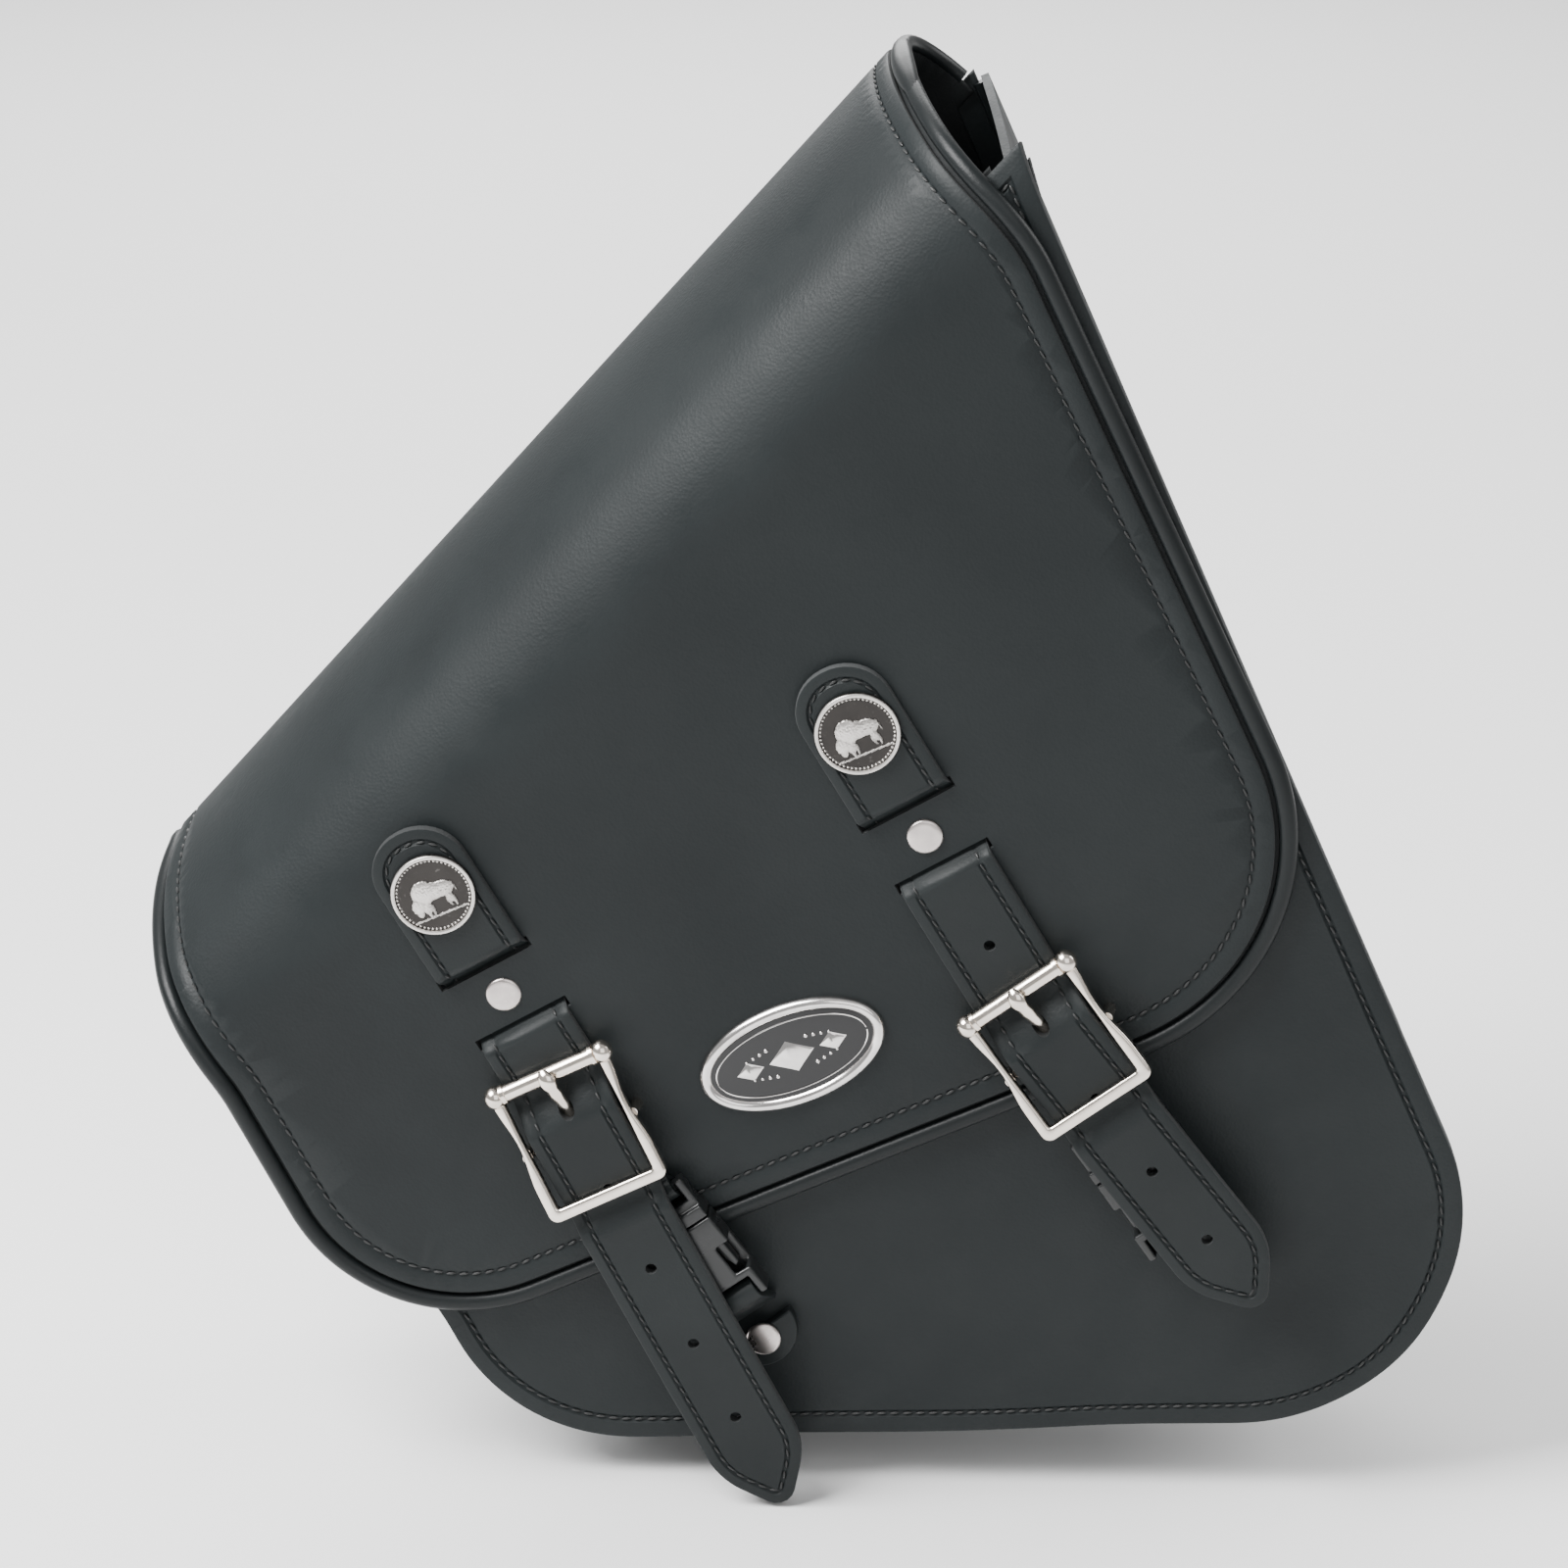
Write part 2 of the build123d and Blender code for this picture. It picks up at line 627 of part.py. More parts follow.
def make_strap(side):
    """Strap: a round-ended tab, a skived run under the overlay, and the tail through the buckle."""
    first = CONCHO_TO_SLIT
    second = CONCHO_TO_SLIT + SLIT_SPACING
    roller = roller_distance(side)
    under = -OVERLAY_LEATHER - HOLE_GAP / 2
    half_width = STRAP_WIDTH / 2
    with BuildPart() as tail:
        with BuildSketch(strap_section(roller_point(side), side.lower_angle)):
            lower = (
                (-2.0, STRAP_REST),
                (3.0, STRAP_REST),
                (15.5, ARCH_LIFT),
                (BUCKLE_LENGTH + 1.3, ARCH_LIFT),
                (CENTRE_BAR + CLIP_START + 1.5, TAIL_LIFT),
                (side.tail, TAIL_LIFT),
            )
            upper = [(x, y + STRAP_LEATHER) for x, y in reversed(lower)]
            with BuildLine():
                Polyline(*lower, *upper, close=True)
            make_face()
        extrude(amount=half_width, both=True)
        with BuildSketch(strap_face(roller_point(side), side.lower_angle)) as plan:
            start = side.tail - TIP_LENGTH
            with BuildLine():
                Polyline(
                    (start, half_width), (-5, half_width), (-5, -half_width), (start, -half_width)
                )
                for across in (half_width, -half_width):
                    ThreePointArc(
                        (start, across),
                        (start + TIP_LENGTH * 0.64, across * 0.56),
                        (side.tail, 0),
                    )
            make_face()
            fillet(plan.vertices().sort_by(Axis.X)[-1:], STRAP_WIDTH / 5)
        extrude(amount=TAIL_LIFT * 2 + STRAP_LEATHER, both=True, mode=Mode.INTERSECT)
        with BuildSketch(strap_face(roller_point(side), side.lower_angle)):
            count = int((side.tail - TIP_LENGTH - TONGUE_HOLE) / HOLE_PITCH)
            with Locations(*[(TONGUE_HOLE + HOLE_PITCH * (k + 1), 0) for k in range(count)]):
                Circle(HOLE_RADIUS)
            with Locations((TONGUE_HOLE, 0)):
                SlotOverall(TONGUE_SLOT, TONGUE_WIDTH + 1)
        extrude(amount=TAIL_LIFT * 2 + STRAP_LEATHER, mode=Mode.SUBTRACT)
    with BuildPart() as strap:
        with BuildSketch(strap_section(side.concho, STRAP_ANGLE)):
            with BuildLine():
                Polyline(
                    (-TAB_END, 0),
                    (first - 4, 0),
                    (first - 0.5, under - SKIVED_LEATHER),
                    (second + 0.5, under - SKIVED_LEATHER),
                    (second + 4, 0),
                    (second + 8, STRAP_REST),
                    (roller, STRAP_REST),
                    (roller, STRAP_REST + STRAP_LEATHER),
                    (second + 8, STRAP_REST + STRAP_LEATHER),
                    (second + 2.5, STRAP_LEATHER),
                    (second - 2.2, under),
                    (first + 2.2, under),
                    (first - 2.5, STRAP_LEATHER),
                    (-TAB_END, STRAP_LEATHER),
                    close=True,
                )
            make_face()
        extrude(amount=half_width, both=True)
        with BuildSketch(strap_face(side.concho, STRAP_ANGLE)):
            with Locations((half_width - TAB_END, 0)):
                Circle(half_width)
            with Locations((half_width - TAB_END, 0)):
                Rectangle(
                    roller + TAB_END - half_width, STRAP_WIDTH, align=(Align.MIN, Align.CENTER)
                )
        extrude(amount=FLAP_THICKNESS * 2, both=True, mode=Mode.INTERSECT)
        with BuildSketch(strap_face(side.concho, STRAP_ANGLE, STRAP_LEATHER * 2)):
            Circle(SCREW_RADIUS + HOLE_GAP)
            with Locations(((first + second) / 2, 0)):
                Circle(RIVET_SHANK + HOLE_GAP)
            if side.to_roller > HOLE_PITCH:
                with Locations((roller + TONGUE_HOLE - HOLE_PITCH, 0)):
                    Circle(HOLE_RADIUS)
        extrude(amount=-STRAP_LEATHER * 5, mode=Mode.SUBTRACT)
        add(tail.part)
    save(strap, f"strap_{side.name}")


def make_studs(side):
    """Concho with its screw through the tab, and the rivet that holds the strap between the slits."""
    with BuildPart() as concho:
        with BuildSketch(strap_face(side.concho, STRAP_ANGLE, STRAP_LEATHER)):
            Circle(CONCHO_RADIUS)
        extrude(amount=CONCHO_THICKNESS)
        chamfer(concho.faces().sort_by(Axis.Y)[0].edges(), CONCHO_THICKNESS / 3)
    save(concho, f"concho_{side.name}")

    with BuildPart() as concho_screw:
        with BuildSketch(strap_face(side.concho, STRAP_ANGLE, STRAP_LEATHER)):
            Circle(SCREW_RADIUS)
        extrude(amount=-(STRAP_LEATHER + FLAP_THICKNESS))
        with BuildSketch(strap_face(side.concho, STRAP_ANGLE, -FLAP_THICKNESS - SCREW_CAP)):
            Circle(SCREW_FLANGE)
        extrude(amount=SCREW_CAP)
    save(concho_screw, f"concho_screw_{side.name}")

    floor = -FLAP_THICKNESS - SCREW_CAP
    with BuildPart() as flap_rivet:
        with BuildSketch(strap_face(rivet_point(side), STRAP_ANGLE)):
            Circle(RIVET_RADIUS)
        extrude(amount=RIVET_HEAD)
        chamfer(flap_rivet.faces().sort_by(Axis.Y)[0].edges(), RIVET_HEAD / 2)
        with BuildSketch(strap_face(rivet_point(side), STRAP_ANGLE, floor)):
            Circle(RIVET_SHANK)
        extrude(amount=-floor)
        with BuildSketch(strap_face(rivet_point(side), STRAP_ANGLE, floor)):
            Circle(RIVET_RADIUS - 1)
        extrude(amount=SCREW_CAP)
    save(flap_rivet, f"flap_rivet_{side.name}")


def make_buckle(side):
    """Roller buckle: frame with ball ends and a dropped centre bar, roller tube, and tongue."""
    section = strap_section(roller_point(side), side.lower_angle)
    inner = STRAP_WIDTH / 2 + RAIL_GAP
    outer = inner + RAIL_WIDTH
    ball = (inner + outer) / 2 + 0.3
    end = BUCKLE_LENGTH + RAIL_WIDTH / 2
    with BuildPart() as buckle_frame:
        with BuildSketch(buckle_face(side)) as ring:
            with BuildLine():
                Polyline((0, outer), (end, outer - 0.4), (end, 0.4 - outer), (0, -outer), close=True)
            make_face()
            fillet(ring.vertices().group_by(Axis.X)[-1], RAIL_WIDTH)
            with BuildLine():
                Polyline(
                    (-1, inner), (end - RAIL_WIDTH, inner), (end - RAIL_WIDTH, -inner), (-1, -inner),
                    close=True,
                )
            make_face(mode=Mode.SUBTRACT)
        extrude(amount=RAIL_THICKNESS / 2, both=True)
        with BuildSketch(section):
            with Locations((0, ROLLER_LIFT)):
                Circle(AXLE_RADIUS)
        extrude(amount=ball, both=True)
        with BuildSketch(section):
            with Locations((CENTRE_BAR, CENTRE_BAR_LIFT)):
                Circle(CENTRE_BAR_RADIUS)
        extrude(amount=inner + 1, both=True)
        for way in (-1, 1):
            with BuildSketch(section.offset(way * inner)):
                top = ROLLER_LIFT + (KEEPER_LIFT - ROLLER_LIFT) * CENTRE_BAR / BUCKLE_LENGTH
                foot = CENTRE_BAR_LIFT - CENTRE_BAR_RADIUS
                with Locations((CENTRE_BAR, (top + foot) / 2)):
                    Rectangle(CENTRE_BAR_RADIUS * 2, top - foot)
            extrude(amount=way * (RAIL_WIDTH - 0.4))
            with Locations(section.offset(way * ball).location * Location((0, ROLLER_LIFT, 0))):
                Sphere(BALL_RADIUS)
    save(buckle_frame, f"buckle_frame_{side.name}")

    with BuildPart() as buckle_roller:
        with BuildSketch(section):
            with Locations((0, ROLLER_LIFT)):
                Circle(ROLLER_RADIUS)
                Circle(AXLE_RADIUS + AXLE_FIT, mode=Mode.SUBTRACT)
        extrude(amount=ball - sqrt(BALL_RADIUS**2 - AXLE_RADIUS**2) - CLIP_GAP, both=True)
    save(buckle_roller, f"buckle_roller_{side.name}")

    perch = ROLLER_LIFT + ROLLER_RADIUS + 0.3
    with BuildPart() as buckle_tongue:
        with BuildSketch(section):
            with BuildLine():
                Polyline(
                    (CENTRE_BAR, CENTRE_BAR_LIFT - 1.9),
                    (CENTRE_BAR - 4.5, CENTRE_BAR_LIFT - 1.4),
                    (6.1, perch - 1.1),
                    (0.2, perch),
                    (-2.7, perch - 0.55),
                    (-2.9, perch + 1.45),
                    (0, perch + 2.25),
                    (5.2, perch + 1.4),
                    (CENTRE_BAR - 6.1, CENTRE_BAR_LIFT + 1.2),
                    (CENTRE_BAR, CENTRE_BAR_LIFT + 1.9),
                    close=True,
                )
            make_face()
            with Locations((CENTRE_BAR, CENTRE_BAR_LIFT)):
                Circle(TONGUE_EYE)
                Circle(CENTRE_BAR_RADIUS + TONGUE_FIT, mode=Mode.SUBTRACT)
        extrude(amount=TONGUE_WIDTH / 2, both=True)
    save(buckle_tongue, f"buckle_tongue_{side.name}")


def make_chape(side):
    """Doubled leather that ties the buckle's centre bar to the clip's web bar."""
    bar = CLIP_START + WEB_BAR / 2
    bar_hole = WEB_BAR * 0.71 + CHAPE_FIT
    centre = centre_bar_point(side)
    bend = CLIP_START / 2
    with BuildPart() as front_half:
        with BuildSketch(strap_section(centre, side.lower_angle)):
            with Locations((bend / 2, CENTRE_BAR_LIFT)):
                Rectangle(bend + 2, CHAPE_LEATHER * 2)
            with Locations((0, CENTRE_BAR_LIFT)):
                Circle(CHAPE_RADIUS)
                Circle(CENTRE_BAR_RADIUS + CHAPE_FIT, mode=Mode.SUBTRACT)
        extrude(amount=CHAPE_WIDTH / 2, both=True)
        with BuildSketch(strap_section(centre, side.lower_angle)):
            with Locations((0, CENTRE_BAR_LIFT)):
                Rectangle(CHAPE_RADIUS * 2 + 10, CHAPE_RADIUS * 3)
        extrude(amount=TONGUE_WIDTH / 2 + 0.5, both=True, mode=Mode.SUBTRACT)
    with BuildPart() as chape:
        with BuildSketch(strap_section(centre, side.clip_angle)):
            low, high = CENTRE_BAR_LIFT, CLIP_MIDDLE
            with BuildLine():
                Polyline(
                    (bend - 3, low - CHAPE_LEATHER),
                    (bar, high - CHAPE_LEATHER),
                    (bar, high + CHAPE_LEATHER),
                    (bend - 3, low + CHAPE_LEATHER),
                    close=True,
                )
            make_face()
            with Locations((bar, high)):
                Circle(bar_hole + CHAPE_LEATHER)
                Circle(bar_hole, mode=Mode.SUBTRACT)
        extrude(amount=CHAPE_WIDTH / 2, both=True)
        add(front_half.part)
    save(chape, f"chape_{side.name}")


def clip_block(side, start, end, inner, outer, low, high):
    """Pair of blocks in a clip, mirrored across its middle, or one block when inner is nought."""
    spans = ((-outer, outer),) if inner == 0 else ((inner, outer), (-outer, -inner))
    with BuildPart() as block:
        with BuildSketch(strap_face(centre_bar_point(side), side.clip_angle, low)):
            for left, right in spans:
                with Locations(((start + end) / 2, (left + right) / 2)):
                    Rectangle(end - start, right - left)
        extrude(amount=high - low)
    return block.part


def make_clip(side):
    """Side-release clip: male half with a guide, its two sprung arms, and the hollow female half."""
    half = CLIP_WIDTH / 2
    web = ANCHOR_WIDTH / 2 + 0.3
    low, high, middle = CLIP_LIFT, CLIP_TOP, CLIP_MIDDLE
    thin = WEB_BAR / 2
    male_end = CLIP_START + MALE_LENGTH
    with BuildPart() as clip_male:
        slot = CLIP_START + WEB_BAR
        add(clip_block(side, CLIP_START, male_end, 0, half, low + 1.5, high - 1.5))
        add(clip_block(side, male_end - 3.5, male_end, 0, half, low, high))
        add(clip_block(side, slot, slot + WEB_SLOT, 0, web, low, high), mode=Mode.SUBTRACT)
        for bottom, top in ((low, middle - thin), (middle + thin, high)):
            add(clip_block(side, CLIP_START - 1, slot, 0, web, bottom, top), mode=Mode.SUBTRACT)
        add(clip_block(side, male_end - 1, male_end + ARM_LENGTH - 2, 0, 2, middle - 1, middle + 1))
    save(clip_male, f"clip_male_{side.name}")

    root = male_end + 1.9
    pad = half - CLIP_WALL - CLIP_GAP
    tip = male_end + ARM_LENGTH
    for way, name in ((1, "upper"), (-1, "lower")):
        with BuildPart() as clip_arm:
            plane = strap_face(centre_bar_point(side), side.clip_angle, middle - ARM_HEIGHT / 2)
            with BuildSketch(plane):
                with BuildLine():
                    Polyline(
                        (root, way * (pad - 4.1)),
                        (root, way * (pad - 1.7)),
                        (tip - 9, way * pad),
                        (tip - 1, way * pad),
                        (tip, way * (pad - 1.4)),
                        (tip - 4, way * (pad - 2.7)),
                        (tip - 10, way * (pad - 2.9)),
                        close=True,
                    )
                make_face()
                with Locations((root, way * (pad - 2.9))):
                    Circle(1.5)
            extrude(amount=ARM_HEIGHT)
        save(clip_arm, f"clip_arm_{name}_{side.name}")

    hollow_end = tip + 2.5
    window = tip - 8
    with BuildPart() as clip_female:
        add(clip_block(side, FEMALE_START, FEMALE_END, 0, half, low, high))
        add(
            clip_block(
                side, FEMALE_START - 1, hollow_end, 0, half - CLIP_WALL,
                low + CLIP_WALL, high - CLIP_WALL,
            ),
            mode=Mode.SUBTRACT,
        )
        add(
            clip_block(side, window, tip + 1, half - 4.5, half + 1, low + CLIP_WALL, high + 1),
            mode=Mode.SUBTRACT,
        )
        bar = FEMALE_END - WEB_BAR
        add(clip_block(side, bar - WEB_SLOT, bar, 0, web, low - 1, high + 1), mode=Mode.SUBTRACT)
        for bottom, top in ((low - 1, middle - thin), (middle + thin, high + 1)):
            add(clip_block(side, bar - 1, FEMALE_END + 1, 0, web, bottom, top), mode=Mode.SUBTRACT)
    save(clip_female, f"clip_female_{side.name}")


def make_anchor(side):
    """Anchor tab riveted to the front panel, and the leather loop from it to the clip."""
    centre = centre_bar_point(side)
    half = ANCHOR_WIDTH / 2
    top = PANEL_LIFT + ANCHOR_THICKNESS
    with BuildPart() as anchor_tab:
        with BuildSketch(strap_face(centre, side.clip_angle, PANEL_LIFT)):
            with Locations(((ANCHOR_TOP + ANCHOR_END - half) / 2, 0)):
                Rectangle(ANCHOR_END - half - ANCHOR_TOP, ANCHOR_WIDTH)
            with Locations((ANCHOR_END - half, 0)):
                Circle(half)
                Rectangle(half * 2, half * 2, align=(Align.MAX, Align.CENTER), mode=Mode.SUBTRACT)
        extrude(amount=ANCHOR_THICKNESS)
        with BuildSketch(strap_face(anchor_point(side), side.clip_angle)):
            Circle(RIVET_SHANK + HOLE_GAP)
        extrude(amount=PANEL_LIFT * 2, mode=Mode.SUBTRACT)
    save(anchor_tab, f"anchor_tab_{side.name}")

    bar = FEMALE_END - WEB_BAR / 2
    bar_hole = WEB_BAR * 0.71 + CHAPE_FIT
    loop = bar_hole + ANCHOR_THICKNESS / 2 - 0.3
    with BuildPart() as clip_loop:
        with BuildSketch(strap_section(centre, side.clip_angle)):
            with BuildLine():
                Polyline(
                    (ANCHOR_TOP - ANCHOR_GAP, PANEL_LIFT + ANCHOR_GAP),
                    (ANCHOR_TOP - ANCHOR_GAP, top - ANCHOR_GAP / 2),
                    (bar + loop * 0.8, CLIP_MIDDLE + loop * 0.6),
                    (bar + bar_hole, CLIP_MIDDLE - loop * 0.6),
                    close=True,
                )
            make_face()
            with Locations((bar, CLIP_MIDDLE)):
                Circle(loop)
                Circle(bar_hole, mode=Mode.SUBTRACT)
        extrude(amount=half - 0.5, both=True)
    save(clip_loop, f"clip_loop_{side.name}")

    inside = PANEL_LIFT - PANEL_LEATHER
    with BuildPart() as anchor_rivet:
        with BuildSketch(strap_face(anchor_point(side), side.clip_angle, inside - 1)):
            Circle(RIVET_SHANK)
        extrude(amount=top - inside + 1)
        with BuildSketch(strap_face(anchor_point(side), side.clip_angle, top)):
            Circle(RIVET_RADIUS)
        extrude(amount=RIVET_HEAD)
        with BuildSketch(strap_face(anchor_point(side), side.clip_angle, inside - 1)):
            Circle(RIVET_RADIUS)
        extrude(amount=1)
        chamfer(anchor_rivet.faces().sort_by(Axis.Y)[0].edges(), RIVET_HEAD / 2)
    save(anchor_rivet, f"anchor_rivet_{side.name}")


def main():
    os.makedirs("parts", exist_ok=True)
    make_back()
    make_gusset()
    make_front_panel()
    make_front_lining()
    make_flap()
    make_badge()
    for side in SIDES:
        make_strap(side)
        make_studs(side)
        make_buckle(side)
        make_chape(side)
        make_clip(side)
        make_anchor(side)


main()
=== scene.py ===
import logging
import math
from dataclasses import dataclass, replace
from enum import Enum
from typing import Callable, Iterable, Sequence

import bmesh
import bpy
from mathutils import Matrix, Vector, noise

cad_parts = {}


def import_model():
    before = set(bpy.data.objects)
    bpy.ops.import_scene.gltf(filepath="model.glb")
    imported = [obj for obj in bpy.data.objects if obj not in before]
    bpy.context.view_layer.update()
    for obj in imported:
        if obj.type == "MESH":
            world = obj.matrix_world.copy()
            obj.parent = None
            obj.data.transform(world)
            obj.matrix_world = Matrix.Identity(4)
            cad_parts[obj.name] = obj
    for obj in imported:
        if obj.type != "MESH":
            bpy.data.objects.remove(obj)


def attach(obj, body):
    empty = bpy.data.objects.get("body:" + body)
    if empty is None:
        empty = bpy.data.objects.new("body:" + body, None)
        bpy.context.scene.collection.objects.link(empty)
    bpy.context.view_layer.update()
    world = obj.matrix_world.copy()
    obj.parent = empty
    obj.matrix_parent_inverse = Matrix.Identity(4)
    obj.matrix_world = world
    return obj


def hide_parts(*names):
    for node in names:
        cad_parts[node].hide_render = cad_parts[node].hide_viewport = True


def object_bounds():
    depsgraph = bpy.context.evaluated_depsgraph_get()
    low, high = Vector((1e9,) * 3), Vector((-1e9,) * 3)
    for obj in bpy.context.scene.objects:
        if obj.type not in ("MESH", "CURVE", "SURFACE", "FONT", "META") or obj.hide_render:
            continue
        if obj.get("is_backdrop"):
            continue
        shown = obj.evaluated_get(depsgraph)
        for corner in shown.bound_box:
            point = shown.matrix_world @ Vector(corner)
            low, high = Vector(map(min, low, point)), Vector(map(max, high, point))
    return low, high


# Leather swing-arm saddlebag. Sizes are in millimetres and are scaled to metres when a piece is
# published. Flat patterns use along (x, along the crown) and run (y, up the sheet), lift is outward.

LOG = logging.getLogger("saddlebag")
MM = 0.001
SMOOTH_ANGLE = math.radians(38)
Place = Callable[[float, float, float], Vector]


class Body(str, Enum):
    """The two large bodies that leather rides on."""

    BAG = "bag"
    FLAP = "flap"


class Slot(str, Enum):
    """Material slots of the record."""

    BODY = "body_leather"
    STRAP = "strap_leather"
    LINING = "lining_leather"
    PIPING = "piping"
    BOARD = "board_plastic"
    CLIP = "clip_plastic"
    BUCKLE = "buckle_nickel"
    RIVET = "rivet_nickel"
    COIN = "aged_nickel"
    CHROME = "badge_chrome"
    ENAMEL = "enamel"
    STEEL = "eyelet_steel"


# ---------------------------------------------------------------- finishes


class Nodes:
    """Small helper that adds and links shader nodes of one material."""

    def __init__(self, name: str) -> None:
        """Start a material with a Principled shader.

        Args:
            name: Name of the material.
        """
        self.material = bpy.data.materials.new(name)
        self.material.use_nodes = True
        self.tree = self.material.node_tree
        self.shader = self.tree.nodes["Principled BSDF"]
        self.coords = self.add("ShaderNodeTexCoord").outputs["Object"]

    def add(self, kind: str, **values: object) -> bpy.types.Node:
        """Add a node and set its sockets or properties by name.

        Args:
            kind: Node type.
            values: Socket values, with underscores for spaces, or node properties.

        Returns:
            The new node.
        """
        node = self.tree.nodes.new(kind)
        for key, value in values.items():
            socket = node.inputs.get(key.replace("_", " "))
            if socket is not None:
                socket.default_value = value
            else:
                setattr(node, key, value)
        return node

    def link(self, source: bpy.types.NodeSocket, target: bpy.types.NodeSocket) -> None:
        """Link two sockets."""
        self.tree.links.new(source, target)

    def noise(self, scale: float, detail: float = 3.0) -> bpy.types.NodeSocket:
        """Add a noise pattern on object coordinates and return its factor."""
        node = self.add("ShaderNodeTexNoise", Scale=scale, Detail=detail)
        self.link(self.coords, node.inputs["Vector"])
        return node.outputs["Fac"]

    def cells(self, scale: float) -> bpy.types.NodeSocket:
        """Add rounded cells on object coordinates and return their distance."""
        node = self.add("ShaderNodeTexVoronoi", Scale=scale)
        self.link(self.coords, node.inputs["Vector"])
        return node.outputs["Distance"]

    def spread(self, source: bpy.types.NodeSocket, low: float, high: float) -> bpy.types.NodeSocket:
        """Map the middle of a noise factor onto a range and return the result."""
        node = self.add("ShaderNodeMapRange", From_Min=0.3, From_Max=0.7, To_Min=low, To_Max=high)
        self.link(source, node.inputs["Value"])
        return node.outputs["Result"]

    def blend(
        self, factor: bpy.types.NodeSocket, first: Sequence[float], second: Sequence[float]
    ) -> bpy.types.NodeSocket:
        """Mix two colours by a factor and return the result."""
        node = self.tree.nodes.new("ShaderNodeMix")
        node.data_type = "RGBA"
        node.inputs["A"].default_value = (*first, 1)
        node.inputs["B"].default_value = (*second, 1)
        self.link(factor, node.inputs["Factor"])
        return node.outputs["Result"]

    def total(
        self, first: bpy.types.NodeSocket, second: bpy.types.NodeSocket, share: float
    ) -> bpy.types.NodeSocket:
        """Add a share of the second value to the first and return the sum."""
        node = self.add("ShaderNodeMath", operation="MULTIPLY_ADD")
        self.link(second, node.inputs[0])
        node.inputs[1].default_value = share
        self.link(first, node.inputs[2])
        return node.outputs["Value"]

    def bump(self, height: bpy.types.NodeSocket, strength: float, distance: float) -> None:
        """Drive the shader's normal with a height."""
        node = self.add("ShaderNodeBump", Strength=strength, Distance=distance)
        self.link(height, node.inputs["Height"])
        self.link(node.outputs["Normal"], self.shader.inputs["Normal"])


@dataclass(frozen=True)
class Leather:
    """Black leather: fine pebble grain over broad, faint shade changes."""

    name: str
    dark: tuple[float, float, float]
    light: tuple[float, float, float]
    smooth: float = 0.4
    rough: float = 0.54
    grain: float = 1150.0
    relief: float = 0.22
    specular: float = 0.2

    def material(self) -> bpy.types.Material:
        """Return the finished material."""
        made = Nodes(self.name)
        shade = made.spread(made.noise(14.0, 4.0), 0.0, 1.0)
        made.link(made.blend(shade, self.dark, self.light), made.shader.inputs["Base Color"])
        scuff = made.total(made.noise(60.0, 5.0), made.noise(900.0), 0.25)
        made.link(made.spread(scuff, self.smooth, self.rough), made.shader.inputs["Roughness"])
        made.shader.inputs["Specular IOR Level"].default_value = self.specular
        pebble = made.total(made.cells(self.grain), made.noise(self.grain * 0.45, 4.0), 0.8)
        creased = made.total(pebble, made.noise(110.0, 2.0), 0.6)
        made.bump(creased, self.relief, 0.0002)
        return made.material


@dataclass(frozen=True)
class Metal:
    """Plated metal with faint swirls and handling marks."""

    name: str
    bright: tuple[float, float, float]
    dull: tuple[float, float, float]
    smooth: float = 0.08
    rough: float = 0.2
    relief: float = 0.04
    from_relief: bool = False

    def material(self) -> bpy.types.Material:
        """Return the finished material."""
        made = Nodes(self.name)
        made.shader.inputs["Metallic"].default_value = 1.0
        if self.from_relief:
            worn = made.add("ShaderNodeAttribute", attribute_name="relief").outputs["Fac"]
            mottled = made.total(worn, made.noise(900.0, 4.0), 0.25)
            shade = made.spread(mottled, 0.0, 1.0)
        else:
            shade = made.spread(made.noise(260.0, 4.0), 0.0, 1.0)
        made.link(made.blend(shade, self.dull, self.bright), made.shader.inputs["Base Color"])
        marks = made.total(made.noise(180.0, 6.0), made.noise(2400.0, 2.0), 0.2)
        made.link(made.spread(marks, self.smooth, self.rough), made.shader.inputs["Roughness"])
        made.bump(made.noise(420.0, 3.0), self.relief, 0.0002)
        return made.material


@dataclass(frozen=True)
class Moulded:
    """Moulded plastic, board, thread or enamel: one colour with a fine texture."""

    name: str
    dark: tuple[float, float, float]
    light: tuple[float, float, float]
    smooth: float = 0.35
    rough: float = 0.5
    texture: float = 1800.0
    relief: float = 0.1
    coat: float = 0.0

    def material(self) -> bpy.types.Material:
        """Return the finished material."""
        made = Nodes(self.name)
        shade = made.spread(made.noise(45.0, 4.0), 0.0, 1.0)
        made.link(made.blend(shade, self.dark, self.light), made.shader.inputs["Base Color"])
        made.link(made.spread(made.noise(150.0), self.smooth, self.rough), made.shader.inputs["Roughness"])
        made.shader.inputs["Coat Weight"].default_value = self.coat
        made.bump(made.noise(self.texture, 3.0), self.relief, 0.0001)
        return made.material


